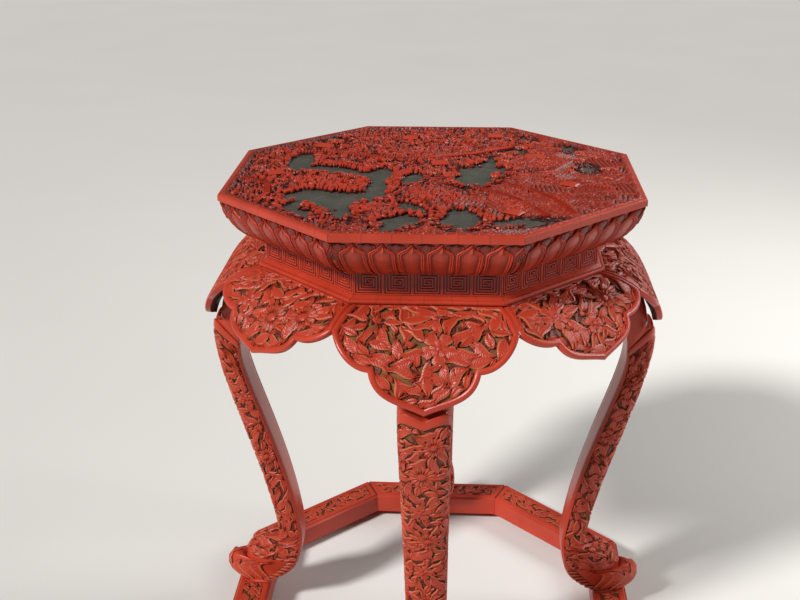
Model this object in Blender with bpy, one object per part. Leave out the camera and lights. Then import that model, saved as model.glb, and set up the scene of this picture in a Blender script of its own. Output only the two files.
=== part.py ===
"""Octagonal carved lacquer stand: a mitred top frame with a floating panel under a carved field, a waist,
eight bombe aprons with lobed lappets, four cabriole legs with curled feet, and an octagonal base frame on
eight pads. Every piece is modelled for the front side, in metres, +Z up, and turned about the stand's axis
to its own side."""

import math

import bmesh
import bpy
from mathutils import Matrix, Vector
from mathutils.geometry import interpolate_bezier

# Driving dimensions, in metres
SIDES = 8
JOINT_GAP = 0.0003

# Base frame and its pads
PAD_HEIGHT = 0.008
PAD_LENGTH = 0.034
PAD_WIDTH = 0.026
PAD_ROUNDING = 0.003
RING_ACROSS_FLATS = 0.433
RING_WIDTH = 0.036
RING_HEIGHT = 0.022
RING_CHAMFER = 0.002
RING_TENON_WIDTH = 0.015
RING_TENON_HEIGHT = 0.010
RING_TENON_DEPTH = 0.012

# Legs, from the sole on the base frame up to the tenon in the top frame
LEG_SPAN = 0.399
LEG_KNEE_WIDTH = 0.0495
LEG_KNEE_DEPTH = 0.029
LEG_KNEE_STEP = 0.008
LEG_KNEE_STEP_DROP = 0.007
LEG_KNEE_STEP_RISE = 0.013
LEG_ANKLE_WIDTH = 0.040
LEG_ANKLE_DEPTH = 0.027
LEG_ANKLE_SET_IN = 0.0288
LEG_CURVE_TOP = 0.038
LEG_CURVE_BOTTOM = 0.081
FOOT_BULB_REACH = 0.0398
FOOT_BULB_HEIGHT = 0.0303
FOOT_BULB_WIDTH = 0.048
FOOT_CURL_FOLD_HEIGHT = 0.029
FOOT_CURL_RISE = 0.005
FOOT_CURL_REACH = 0.0205
FOOT_CURL_WIDTH = 0.034
FOOT_SOLE_LENGTH = 0.030
FOOT_SOLE_OUTER_SHARE = 0.46
FOOT_PLINTH_HEIGHT = 0.0032
FOOT_PLINTH_STEP = 0.002
FOOT_TENON_LENGTH = 0.014
FOOT_TENON_SIZE = 0.016
POST_DEPTH = 0.028
POST_WIDTH = 0.040
POST_TENON_HEIGHT = 0.018
POST_TENON_DEPTH = 0.014
POST_TENON_WIDTH = 0.024

# Aprons: a bombe board with a lobed lower edge
APRON_REACH = 0.0719
APRON_FALL = 0.077
APRON_THICKNESS = 0.0115
APRON_SETOUT = 0.002
LAPPET_CUSP_DROP = 0.0115
LAPPET_NOTCH_HALF_WIDTH = 0.049
LEG_LAPPET_NOTCH_DROP = 0.040
LEG_LAPPET_TIP_DROP = 0.0767
SIDE_LAPPET_NOTCH_DROP = 0.026
SIDE_LAPPET_TIP_DROP = 0.051
APRON_ROWS = 7

# Moulding and waist
MOULDING_HEIGHT = 0.0067
MOULDING_PROJECTION = 0.0085
MOULDING_BEAD = 0.0022
WAIST_ACROSS_FLATS = 0.316
WAIST_HEIGHT = 0.023
WAIST_THICKNESS = 0.008
WAIST_TONGUE_HEIGHT = 0.004
WAIST_TONGUE_THICKNESS = 0.003

# Top frame, panel and battens
TOP_ACROSS_FLATS = 0.400
OVOLO_HEIGHT = 0.039
OVOLO_LEDGE = 0.004
RIM_HEIGHT = 0.007
RIM_ROUNDING = 0.002
RIM_BORDER = 0.008
FIELD_DEPTH = 0.004
RAIL_LIP = 0.004
RAIL_TENON_WIDTH = 0.018
RAIL_TENON_HEIGHT = 0.012
RAIL_TENON_DEPTH = 0.014
PANEL_THICKNESS = 0.018
PANEL_TONGUE_LENGTH = 0.008
PANEL_TONGUE_THICKNESS = 0.006
BATTEN_WIDTH = 0.022
BATTEN_DEPTH = 0.017
BATTEN_SPACING = 0.048
BATTEN_TENON_LENGTH = 0.010
BATTEN_TENON_SHOULDER = 0.004

# Carved field over panel and rails: the land's thickness, the pools cut through it and the rocky knolls on
# it, each an ellipse given as (right of the axis, behind the axis, half length, half width, turn in degrees)
LAND_HEIGHT = 0.0026
KNOLL_HEIGHT = 0.0012
SHORE_SIDES = 10
POOLS = {
    "left inlet": (-0.1365, 0.042, 0.035, 0.0135, 90),
    "upper channel": (-0.0946, 0.011, 0.042, 0.0130, -25),
    "middle pool": (-0.0535, -0.001, 0.0255, 0.0150, 90),
    "lower channel": (-0.0530, -0.058, 0.038, 0.0105, 90),
    "pond": (-0.1000, -0.083, 0.038, 0.030, 0),
    "pond, left arm": (-0.1190, -0.121, 0.025, 0.0095, 125),
    "pond, right arm": (-0.0790, -0.126, 0.020, 0.0095, 100),
    "right pool": (0.0390, -0.011, 0.029, 0.0175, 90),
    "right pool, upper arm": (0.0555, 0.027, 0.0235, 0.0150, 110),
    "spring": (-0.0205, -0.013, 0.020, 0.0092, 75),
    "front pool": (0.0275, -0.145, 0.0285, 0.0172, 90),
    "front puddle": (-0.0325, -0.160, 0.018, 0.0115, 90),
    "front puddle, right": (-0.0160, -0.145, 0.015, 0.0070, 95),
    "front stream": (-0.0180, -0.111, 0.017, 0.0080, -45),
    "front shore": (0.0670, -0.154, 0.017, 0.0065, 0),
}
KNOLLS = {
    "left island": (-0.110, -0.032, 0.030, 0.015, -12),
    "middle crag": (0.004, -0.074, 0.030, 0.018, -38),
    "front rock": (-0.046, -0.112, 0.018, 0.010, 20),
    "right terrace": (0.070, -0.098, 0.026, 0.012, -35),
    "far hill": (-0.010, 0.090, 0.050, 0.022, 8),
    "right hill": (0.110, 0.050, 0.030, 0.016, 30),
}

# Heights, stacked from the floor
RING_BOTTOM = PAD_HEIGHT
RING_TOP = RING_BOTTOM + RING_HEIGHT
APRON_TOP = RING_TOP + LEG_SPAN
MOULDING_BOTTOM = APRON_TOP + JOINT_GAP
MOULDING_TOP = MOULDING_BOTTOM + MOULDING_HEIGHT
WAIST_BOTTOM = MOULDING_TOP + JOINT_GAP
WAIST_TOP = WAIST_BOTTOM + WAIST_HEIGHT
RAIL_BOTTOM = WAIST_TOP + JOINT_GAP
RIM_BOTTOM = RAIL_BOTTOM + OVOLO_HEIGHT
RIM_TOP = RIM_BOTTOM + RIM_HEIGHT
FIELD_TOP = RIM_TOP - FIELD_DEPTH
PANEL_BOTTOM = FIELD_TOP - PANEL_THICKNESS
TONGUE_MIDDLE = FIELD_TOP - PANEL_THICKNESS / 2

# Distances from the axis to the flats
RING_OUT = RING_ACROSS_FLATS / 2
RING_IN = RING_OUT - RING_WIDTH
FOOT_SEAT = (RING_OUT + RING_IN) / 2
TOP_OUT = TOP_ACROSS_FLATS / 2
WAIST_OUT = WAIST_ACROSS_FLATS / 2
WAIST_IN = WAIST_OUT - WAIST_THICKNESS
WAIST_MIDDLE = (WAIST_OUT + WAIST_IN) / 2
APRON_CENTRE = WAIST_OUT + APRON_SETOUT
APRON_CENTRE_Z = APRON_TOP - APRON_FALL
POST_OUT = WAIST_IN - JOINT_GAP
POST_IN = POST_OUT - POST_DEPTH
RAIL_IN = POST_IN - RAIL_LIP
PANEL_OUT = RAIL_IN - JOINT_GAP

# The apron's inner face is a run of flats, so a leg seats under their middles and not under their edges
APRON_INNER_FALL = APRON_FALL - APRON_THICKNESS
FLAT_SAG = APRON_INNER_FALL * (1 - math.cos(math.pi / 4 / (APRON_ROWS - 1)))
SHOULDER_DEPTH = APRON_THICKNESS + FLAT_SAG + JOINT_GAP

HALF_CORNER = math.pi / SIDES
SIDE_NAMES = ("front", "front_right", "right", "back_right", "back", "back_left", "left", "front_left")
LEG_SIDES = (0, 2, 4, 6)
BATTEN_SIDES = (0, 4)


def clear_scene():
    for obj in list(bpy.data.objects):
        bpy.data.objects.remove(obj, do_unlink=True)


def lacquer(name, colour, roughness):
    material = bpy.data.materials.new(name)
    material.use_nodes = True
    shader = material.node_tree.nodes["Principled BSDF"]
    shader.inputs["Base Color"].default_value = (*colour, 1.0)
    shader.inputs["Roughness"].default_value = roughness
    shader.inputs["Metallic"].default_value = 0.0
    return material


def mesh_from(bm, name):
    """The bmesh as a mesh datablock, closed, facing out and shaded smooth between its sharp edges."""
    bmesh.ops.recalc_face_normals(bm, faces=bm.faces)
    mesh = bpy.data.meshes.new(name)
    bm.to_mesh(mesh)
    bm.free()
    mesh.shade_smooth()
    mesh.set_sharp_from_angle(angle=math.radians(35))
    return mesh


def add_part(name, mesh, material, turn=0.0):
    """One named piece, its mesh modelled for the front side and turned about the axis."""
    part = bpy.data.objects.new(name, mesh)
    if not mesh.materials:
        mesh.materials.append(material)
    part.rotation_euler.z = turn
    part.parent = stand
    parts.objects.link(part)
    return part


def side_turn(side):
    return 2 * HALF_CORNER * side


def mitre_half(distance):
    """Half the length of a bar at this distance from the axis, up to its own side of the mitre gap."""
    return distance * math.tan(HALF_CORNER) - JOINT_GAP / 2 / math.cos(HALF_CORNER)


def quarter_arc(centre, radii, start, stop, steps):
    """Points on an ellipse from one angle to another, in degrees."""
    angles = [math.radians(start + (stop - start) * i / steps) for i in range(steps + 1)]
    return [(centre[0] + radii[0] * math.cos(a), centre[1] + radii[1] * math.sin(a)) for a in angles]


def mitred_bar(name, profile):
    """A bar on the front side: a profile of (distance, height) points, extruded and mitred at both ends."""
    bm = bmesh.new()
    face = bm.faces.new([bm.verts.new((-1.0, -distance, height)) for distance, height in profile])
    extruded = bmesh.ops.extrude_face_region(bm, geom=[face])["geom"]
    for vert in extruded:
        if isinstance(vert, bmesh.types.BMVert):
            vert.co.x = 1.0
    for vert in bm.verts:
        vert.co.x *= mitre_half(-vert.co.y)
    return mesh_from(bm, name)


def block(low, high, turn=0.0):
    """A box between two corners given as (along, distance, height), turned about the axis."""
    bm = bmesh.new()
    bmesh.ops.create_cube(bm, size=1.0)
    size = [high[i] - low[i] for i in range(3)]
    middle = [(high[i] + low[i]) / 2 for i in range(3)]
    bmesh.ops.scale(bm, vec=size, verts=bm.verts)
    bmesh.ops.translate(bm, vec=(middle[0], -middle[1], middle[2]), verts=bm.verts)
    bmesh.ops.rotate(bm, cent=(0, 0, 0), matrix=Matrix.Rotation(turn, 3, "Z"), verts=bm.verts)
    return mesh_from(bm, "block")


def jointed(mesh, added=(), removed=()):
    """The mesh with tenons joined to it and mortises cut out of it, as a new mesh."""
    worked = bpy.data.objects.new("worked", mesh)
    bpy.context.scene.collection.objects.link(worked)
    tools = []
    for operation, shapes in (("UNION", added), ("DIFFERENCE", removed)):
        for shape in shapes:
            tool = bpy.data.objects.new("tool", shape)
            bpy.context.scene.collection.objects.link(tool)
            tools.append(tool)
            modifier = worked.modifiers.new("joint", "BOOLEAN")
            modifier.operation = operation
            modifier.solver = "EXACT"
            modifier.object = tool
    graph = bpy.context.evaluated_depsgraph_get()
    result = bpy.data.meshes.new_from_object(worked.evaluated_get(graph))
    result.name = mesh.name
    for obj in [worked, *tools]:
        bpy.data.objects.remove(obj, do_unlink=True)
    return result


def mitre_tenon(middle, width, bottom, height, depth, end, gap=0.0):
    """The tenon across the mitre at one end of the front bar (end 1 is right, -1 left), grown by a gap."""
    along = math.cos(HALF_CORNER)
    low = (-depth - gap, middle / along - width / 2 - gap, bottom - gap)
    high = (depth + gap, middle / along + width / 2 + gap, bottom + height + gap)
    return block(low, high, turn=HALF_CORNER * end)


def grown(low, high, gap):
    return [v - gap for v in low], [v + gap for v in high]


# Base frame

def pad_mesh():
    """A small foot block under a corner of the base frame, on the front side's right-hand mitre."""
    bm = bmesh.new()
    bmesh.ops.create_cube(bm, size=1.0)
    height = PAD_HEIGHT - JOINT_GAP
    bmesh.ops.scale(bm, vec=(PAD_LENGTH, PAD_WIDTH, height), verts=bm.verts)
    upper = [edge for edge in bm.edges if all(vert.co.z > 0 for vert in edge.verts)]
    rounded = [edge for edge in bm.edges if edge not in upper]
    bmesh.ops.bevel(bm, geom=rounded, offset=PAD_ROUNDING, segments=2, profile=0.5, affect="EDGES")
    radius = FOOT_SEAT / math.cos(HALF_CORNER)
    bmesh.ops.translate(bm, vec=(0, -radius, height / 2), verts=bm.verts)
    bmesh.ops.rotate(bm, cent=(0, 0, 0), matrix=Matrix.Rotation(HALF_CORNER, 3, "Z"), verts=bm.verts)
    return mesh_from(bm, "foot_pad")


def foot_tenon_box(gap=0.0):
    half = FOOT_TENON_SIZE / 2
    low = (-half, FOOT_SEAT - half, RING_TOP - FOOT_TENON_LENGTH)
    high = (half, FOOT_SEAT + half, RING_TOP + JOINT_GAP)
    return grown(low, high, gap)


def ring_mesh(carries_leg):
    """A segment of the base frame, tenoned into its neighbour on the right, with a mortise under a leg."""
    c = RING_CHAMFER
    profile = [
        (RING_IN, RING_BOTTOM),
        (RING_OUT, RING_BOTTOM),
        (RING_OUT, RING_TOP - c),
        (RING_OUT - c, RING_TOP),
        (RING_IN + c, RING_TOP),
        (RING_IN, RING_TOP - c),
    ]
    bottom = RING_BOTTOM + (RING_HEIGHT - RING_TENON_HEIGHT) / 2
    joint = (FOOT_SEAT, RING_TENON_WIDTH, bottom, RING_TENON_HEIGHT, RING_TENON_DEPTH)
    removed = [mitre_tenon(*joint, end=-1, gap=JOINT_GAP)]
    if carries_leg:
        removed.append(block(*foot_tenon_box(JOINT_GAP)))
    return jointed(mitred_bar("base_rail", profile), [mitre_tenon(*joint, end=1)], removed)


# Aprons

def apron_angle(drop):
    """The angle on the bombe ellipse at a drop below the apron's top; past its end the board is straight."""
    rise = 1 - drop / APRON_FALL
    return math.asin(rise) if rise > 0 else rise


def apron_point(angle, depth):
    """(distance, height) on the bombe profile, at a depth inside its face."""
    distance = APRON_CENTRE + (APRON_REACH - depth) * math.cos(max(angle, 0.0))
    rise = (APRON_FALL - depth) * math.sin(angle) if angle > 0 else APRON_FALL * angle
    return distance, APRON_CENTRE_Z + rise


def lappet_edge(notch_drop, tip_drop, steps):
    """Half of the lobed lower edge as (along, drop) points: cusp, outer lobe, notch, ogee lobe, tip."""
    cusp_distance = apron_point(apron_angle(LAPPET_CUSP_DROP), 0.0)[0]
    cusp = Vector((mitre_half(cusp_distance), LAPPET_CUSP_DROP))
    notch = Vector((LAPPET_NOTCH_HALF_WIDTH, notch_drop))
    tip = Vector((0.0, tip_drop))
    lobe = notch - cusp
    ogee = tip - notch
    outer = interpolate_bezier(
        cusp,
        cusp + Vector((0.12 * lobe.x, 0.47 * lobe.y)),
        cusp + Vector((0.52 * lobe.x, 0.96 * lobe.y)),
        notch,
        steps[0] + 1,
    )
    inner = interpolate_bezier(
        notch,
        notch + Vector((0.11 * ogee.x, 0.69 * ogee.y)),
        notch + Vector((0.60 * ogee.x, 0.72 * ogee.y)),
        tip,
        steps[1] + 1,
    )
    return outer[:-1] + inner


def apron_mesh(name, notch_drop, tip_drop):
    """A slab with a grid on each face, bent so that its rows run from the moulding's flange to the lobes."""
    half = lappet_edge(notch_drop, tip_drop, steps=(4, 5))
    edge = [(-along, drop) for along, drop in half] + list(reversed([(a, d) for a, d in half[:-1]]))
    columns = len(edge) - 1
    rows = APRON_ROWS
    bm = bmesh.new()
    bmesh.ops.create_grid(bm, x_segments=columns, y_segments=rows, size=0.5)
    extruded = bmesh.ops.extrude_face_region(bm, geom=bm.faces[:])["geom"]
    for vert in extruded:
        if isinstance(vert, bmesh.types.BMVert):
            vert.co.z = 1.0
    for vert in bm.verts:
        column = round((vert.co.x + 0.5) * columns)
        row = round((0.5 - vert.co.y) * rows)
        depth = APRON_THICKNESS * vert.co.z
        along, drop = edge[column]
        end_angle = apron_angle(drop)
        end_share = along / mitre_half(apron_point(end_angle, 0.0)[0])
        start_share = 2 * column / columns - 1
        if row == 0:
            distance, height = WAIST_IN, APRON_TOP - depth
            share = start_share
        else:
            down = (row - 1) / (rows - 1)
            distance, height = apron_point(math.pi / 2 + (end_angle - math.pi / 2) * down, depth)
            share = start_share + (end_share - start_share) * down
        vert.co = (share * mitre_half(distance), -distance, height)
    return mesh_from(bm, name)


# Legs

def bezier(points, steps):
    """A cubic curve through its first and last of four (distance, height) points, as steps + 1 points."""
    return [tuple(p) for p in interpolate_bezier(*[Vector(p) for p in points], steps + 1)]


def section(inner, outer, width, roundness=0.0, rise=0.0):
    """A leg section between an inner and an outer (distance, height) point, rounded to the front, with its
    outer corners raised above its middle by up to a rise."""
    shoulder = 0.55 - 0.2 * roundness
    outline = [
        (0.0, 0.86),
        (0.06, 1.0),
        (shoulder, 1.0),
        (0.80 - 0.12 * roundness, 0.92 - 0.05 * roundness),
        (0.94 - 0.04 * roundness, 0.68 - 0.1 * roundness),
        (1.0, 0.28 - 0.08 * roundness),
    ]
    ring = outline + [(1.0, 0.0)] + [(depth, -across) for depth, across in reversed(outline)]
    points = []
    for depth, across in ring:
        distance = inner[0] + (outer[0] - inner[0]) * depth
        height = inner[1] + (outer[1] - inner[1] + rise * abs(across)) * depth
        points.append((across * width / 2, -distance, height))
    return points


def blend(start, stop, share):
    return start + (stop - start) * share


def level(low, high, height, width, roundness=0.0):
    return section((low, height), (high, height), width, roundness)


def post_sections():
    """The tenon in the top frame and the square post behind the waist."""
    middle = (POST_OUT + POST_IN) / 2
    tenon = (middle - POST_TENON_DEPTH / 2, middle + POST_TENON_DEPTH / 2)
    shoulder = RAIL_BOTTOM - JOINT_GAP
    return [
        level(*tenon, shoulder + POST_TENON_HEIGHT, POST_TENON_WIDTH),
        level(*tenon, shoulder, POST_TENON_WIDTH),
        level(POST_IN, POST_OUT, shoulder, POST_WIDTH),
        level(POST_IN, POST_OUT, APRON_TOP - APRON_THICKNESS - JOINT_GAP, POST_WIDTH),
    ]


def knee_outer():
    """The point where the leg leaves the apron's inner face."""
    return apron_point(0.0, SHOULDER_DEPTH)


def knee_inner():
    outer = knee_outer()
    return outer[0] + LEG_KNEE_STEP - LEG_KNEE_DEPTH, outer[1] - 0.65 * LEG_KNEE_DEPTH


def knee_face():
    """(inner, outer) below the lappet's tip, where the leg steps out in a chevron, nearly level with it."""
    inner = knee_inner()
    outer = knee_outer()
    drop = LEG_KNEE_STEP_DROP
    return (inner[0], inner[1] - drop), (outer[0] + LEG_KNEE_STEP, outer[1] - drop)


def knee_sections():
    """The two edges of the chevron step."""
    inner, outer = knee_face()
    under_lappet = (outer[0] - LEG_KNEE_STEP, outer[1])
    return [section(inner, end, LEG_KNEE_WIDTH, rise=LEG_KNEE_STEP_RISE) for end in (under_lappet, outer)]


def shoulder_sections(steps=7):
    """The shoulder that swells out from the post under the apron's inner face."""
    start = APRON_TOP - APRON_THICKNESS - POST_DEPTH / 2
    stop = knee_inner()
    fall = start - stop[1]
    inner = bezier(
        [(POST_IN, start), (POST_IN, start - 0.3 * fall), (stop[0], stop[1] + 0.65 * fall), stop], steps
    )
    found = []
    for i in range(steps + 1):
        angle = math.pi / 2 * (1 - i / steps)
        outer = apron_point(angle, SHOULDER_DEPTH)
        width = blend(POST_WIDTH, LEG_KNEE_WIDTH, i / steps)
        found.append(section(inner[i], outer, width, rise=LEG_KNEE_STEP_RISE if i == steps else 0.0))
    return found


def ankle_points():
    """(inner, outer) where the leg meets the top of the foot's bulb."""
    outer = FOOT_SEAT - LEG_ANKLE_SET_IN
    height = RING_TOP + FOOT_CURL_FOLD_HEIGHT + FOOT_BULB_HEIGHT
    return (outer - LEG_ANKLE_DEPTH, height + 0.2 * LEG_ANKLE_DEPTH), (outer, height)


def shank_sections(steps=10):
    """The long S of the leg, from the apron's tip in to the ankle."""
    ankle_in, ankle_out = ankle_points()
    top_in, top_out = knee_face()
    outer = bezier(
        [
            top_out,
            (top_out[0] + 0.30 * LEG_CURVE_TOP, top_out[1] - LEG_CURVE_TOP),
            (ankle_out[0] + 0.07 * LEG_CURVE_BOTTOM, ankle_out[1] + LEG_CURVE_BOTTOM),
            ankle_out,
        ],
        steps,
    )
    inner = bezier(
        [
            top_in,
            (top_in[0] + 0.24 * LEG_CURVE_TOP, top_in[1] - 0.8 * LEG_CURVE_TOP),
            (ankle_in[0] + 0.17 * LEG_CURVE_BOTTOM, ankle_in[1] + 1.4 * LEG_CURVE_BOTTOM),
            ankle_in,
        ],
        steps,
    )
    widths = [blend(LEG_KNEE_WIDTH, LEG_ANKLE_WIDTH, i / steps) for i in range(steps + 1)]
    rises = [LEG_KNEE_STEP_RISE * max(0.0, 1 - 3 * i / steps) for i in range(steps + 1)]
    return [section(inner[i], outer[i], widths[i], rise=rises[i]) for i in range(1, steps)]


def foot_outer():
    """The foot's outer line: over the bulb, into the fold, up and round the curled leaf, to the sole."""
    ankle = ankle_points()[1]
    fold = (ankle[0] + FOOT_BULB_REACH, ankle[1] - FOOT_BULB_HEIGHT)
    crest = (fold[0] + 0.5 * FOOT_CURL_REACH, fold[1] + FOOT_CURL_RISE)
    brow = (fold[0] + FOOT_CURL_REACH, RING_TOP + 0.72 * FOOT_CURL_FOLD_HEIGHT)
    sole = (FOOT_SEAT + FOOT_SOLE_OUTER_SHARE * FOOT_SOLE_LENGTH, RING_TOP + FOOT_PLINTH_HEIGHT)
    fall = brow[1] - sole[1]
    bulb = quarter_arc((ankle[0], fold[1]), (FOOT_BULB_REACH, FOOT_BULB_HEIGHT), 90, 0, 6)
    rise = bezier([fold, (fold[0] + 0.001, crest[1]), (crest[0] - 0.004, crest[1]), crest], 2)
    over_brow = (blend(crest[0], brow[0], 0.6), crest[1])
    beside_brow = (brow[0], blend(crest[1], brow[1], 0.5))
    curl = bezier([crest, over_brow, beside_brow, brow], 3)
    under = bezier([brow, (brow[0], blend(brow[1], sole[1], 0.5)), (sole[0] + 0.55 * fall, sole[1]), sole], 4)
    return bulb + rise[1:] + curl[1:] + under[1:]


def foot_sections():
    """Sections fanned round the heel, from the ankle to the flat of the sole."""
    ankle_in = ankle_points()[0]
    outer = foot_outer()
    heel = (FOOT_SEAT - (1 - FOOT_SOLE_OUTER_SHARE) * FOOT_SOLE_LENGTH, RING_TOP + FOOT_PLINTH_HEIGHT)
    fall = ankle_in[1] - heel[1]
    inner = bezier(
        [
            ankle_in,
            (ankle_in[0], ankle_in[1] - 0.55 * fall),
            (heel[0] - 0.74 * (heel[0] - ankle_in[0]), heel[1] + 0.08 * fall),
            heel,
        ],
        len(outer) - 1,
    )
    widths = []
    for i in range(len(outer)):
        share = i / (len(outer) - 1)
        swell = math.sin(math.pi * min(share / 0.7, 1.0))
        base = blend(LEG_ANKLE_WIDTH, FOOT_CURL_WIDTH, min(share / 0.75, 1.0))
        widths.append(base + (FOOT_BULB_WIDTH - LEG_ANKLE_WIDTH) * swell)
    last = len(outer) - 1
    return [section(inner[i], outer[i], widths[i], min(1.0, 3 * i / last)) for i in range(last + 1)]


def plinth_sections():
    """The thin round fillet under the sole, and the tenon that enters the base frame."""
    low = FOOT_SEAT - (1 - FOOT_SOLE_OUTER_SHARE) * FOOT_SOLE_LENGTH - FOOT_PLINTH_STEP
    high = FOOT_SEAT + FOOT_SOLE_OUTER_SHARE * FOOT_SOLE_LENGTH + FOOT_PLINTH_STEP
    width = FOOT_CURL_WIDTH + 2 * FOOT_PLINTH_STEP
    bottom = RING_TOP + JOINT_GAP
    half = FOOT_TENON_SIZE / 2
    tenon = (FOOT_SEAT - half, FOOT_SEAT + half)
    return [
        level(low, high, bottom + 0.7 * FOOT_PLINTH_HEIGHT, width, 0.5),
        level(low, high, bottom, width, 0.5),
        level(*tenon, bottom, FOOT_TENON_SIZE),
        level(*tenon, RING_TOP - FOOT_TENON_LENGTH, FOOT_TENON_SIZE),
    ]


def leg_mesh():
    """A cabriole leg lofted through its sections, closed at both tenons."""
    rings = post_sections() + shoulder_sections() + knee_sections() + shank_sections()
    rings += foot_sections() + plinth_sections()
    bm = bmesh.new()
    loops = [[bm.verts.new(point) for point in ring] for ring in rings]
    count = len(loops[0])
    for upper, lower in zip(loops, loops[1:]):
        for i in range(count):
            j = (i + 1) % count
            bm.faces.new((upper[i], upper[j], lower[j], lower[i]))
    bm.faces.new(loops[0])
    bm.faces.new(loops[-1])
    return mesh_from(bm, "leg")


# Moulding and waist

def moulding_mesh():
    """The bead that carries the waist: a flat seat, a slope, a half-round bead and a flat underside."""
    out = WAIST_OUT + MOULDING_PROJECTION
    bead_z = MOULDING_BOTTOM + MOULDING_BEAD
    bead = quarter_arc((out - MOULDING_BEAD, bead_z), (MOULDING_BEAD, MOULDING_BEAD), -90, 90, 6)
    profile = [
        (WAIST_IN, MOULDING_BOTTOM),
        *bead,
        (out - 1.6 * MOULDING_BEAD, bead[-1][1]),
        (WAIST_OUT + 0.15 * MOULDING_PROJECTION, MOULDING_TOP),
        (WAIST_IN, MOULDING_TOP),
    ]
    return mitred_bar("waist_moulding", profile)


def waist_mesh():
    """An upright board with a tongue along its top that enters the rail above."""
    half = WAIST_TONGUE_THICKNESS / 2
    profile = [
        (WAIST_IN, WAIST_BOTTOM),
        (WAIST_OUT, WAIST_BOTTOM),
        (WAIST_OUT, WAIST_TOP),
        (WAIST_MIDDLE + half, WAIST_TOP),
        (WAIST_MIDDLE + half, WAIST_TOP + WAIST_TONGUE_HEIGHT),
        (WAIST_MIDDLE - half, WAIST_TOP + WAIST_TONGUE_HEIGHT),
        (WAIST_MIDDLE - half, WAIST_TOP),
        (WAIST_IN, WAIST_TOP),
    ]
    return mitred_bar("waist_board", profile)


# Top frame

def rail_profile():
    """The section of a top rail: waist groove, ovolo, plain rim, recessed field and panel groove."""
    groove_half = WAIST_TONGUE_THICKNESS / 2 + JOINT_GAP
    groove_top = RAIL_BOTTOM + WAIST_TONGUE_HEIGHT
    ovolo_in = WAIST_OUT + JOINT_GAP
    ovolo_out = TOP_OUT - OVOLO_LEDGE
    ovolo = quarter_arc((ovolo_in, RIM_BOTTOM), (ovolo_out - ovolo_in, OVOLO_HEIGHT), -90, 0, 8)
    rim_centre = (TOP_OUT - RIM_ROUNDING, RIM_TOP - RIM_ROUNDING)
    rim = quarter_arc(rim_centre, (RIM_ROUNDING, RIM_ROUNDING), 0, 90, 3)
    slot_half = PANEL_TONGUE_THICKNESS / 2 + JOINT_GAP
    slot_out = RAIL_IN + PANEL_TONGUE_LENGTH + JOINT_GAP
    return [
        (RAIL_IN, RAIL_BOTTOM),
        (WAIST_MIDDLE - groove_half, RAIL_BOTTOM),
        (WAIST_MIDDLE - groove_half, groove_top),
        (WAIST_MIDDLE + groove_half, groove_top),
        (WAIST_MIDDLE + groove_half, RAIL_BOTTOM),
        *ovolo,
        (TOP_OUT, RIM_BOTTOM),
        *rim,
        (TOP_OUT - RIM_BORDER, RIM_TOP),
        (TOP_OUT - RIM_BORDER, FIELD_TOP),
        (RAIL_IN, FIELD_TOP),
        (RAIL_IN, TONGUE_MIDDLE + slot_half),
        (slot_out, TONGUE_MIDDLE + slot_half),
        (slot_out, TONGUE_MIDDLE - slot_half),
        (RAIL_IN, TONGUE_MIDDLE - slot_half),
    ]


def post_tenon_box(gap):
    middle = (POST_OUT + POST_IN) / 2
    low = (-POST_TENON_WIDTH / 2, middle - POST_TENON_DEPTH / 2, RAIL_BOTTOM - JOINT_GAP)
    high = (POST_TENON_WIDTH / 2, middle + POST_TENON_DEPTH / 2, RAIL_BOTTOM + POST_TENON_HEIGHT)
    return grown(low, high, gap)


def batten_tenon_box(offset, gap):
    """The tenon at a batten's front end, set in from the batten's faces by its shoulders."""
    half = BATTEN_WIDTH / 2 - BATTEN_TENON_SHOULDER
    top = PANEL_BOTTOM - JOINT_GAP - BATTEN_TENON_SHOULDER
    bottom = PANEL_BOTTOM - JOINT_GAP - BATTEN_DEPTH + BATTEN_TENON_SHOULDER
    low = (offset - half, RAIL_IN - BATTEN_TENON_SHOULDER, bottom)
    high = (offset + half, RAIL_IN + BATTEN_TENON_LENGTH, top)
    return grown(low, high, gap)


def rail_mesh(carries_leg, carries_battens):
    """A top rail, tenoned into its neighbour on the right, with mortises for a leg and for the battens."""
    middle = (WAIST_OUT + TOP_OUT) / 2
    bottom = RIM_BOTTOM - RAIL_TENON_HEIGHT
    joint = (middle, RAIL_TENON_WIDTH, bottom, RAIL_TENON_HEIGHT, RAIL_TENON_DEPTH)
    removed = [mitre_tenon(*joint, end=-1, gap=JOINT_GAP)]
    if carries_leg:
        removed.append(block(*post_tenon_box(JOINT_GAP)))
    if carries_battens:
        removed += [block(*batten_tenon_box(side * BATTEN_SPACING / 2, JOINT_GAP)) for side in (-1, 1)]
    return jointed(mitred_bar("top_rail", rail_profile()), [mitre_tenon(*joint, end=1)], removed)


def octagon_plate(name, out, bottom, top):
    """A flat octagonal plate with its flats at this distance from the axis."""
    bm = bmesh.new()
    radius = out / math.cos(HALF_CORNER)
    turn = Matrix.Translation((0, 0, (top + bottom) / 2)) @ Matrix.Rotation(HALF_CORNER, 4, "Z")
    bmesh.ops.create_cone(
        bm, cap_ends=True, segments=SIDES, radius1=radius, radius2=radius, depth=top - bottom, matrix=turn
    )
    return mesh_from(bm, name)


def panel_mesh():
    """The floating octagonal panel, with a tongue round its edge for the rails' groove."""
    half = PANEL_TONGUE_THICKNESS / 2
    plate = octagon_plate("top_panel", PANEL_OUT, PANEL_BOTTOM, FIELD_TOP)
    tongue_out = PANEL_OUT + PANEL_TONGUE_LENGTH
    tongue = octagon_plate("tongue", tongue_out, TONGUE_MIDDLE - half, TONGUE_MIDDLE + half)
    return jointed(plate, [tongue])


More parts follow.
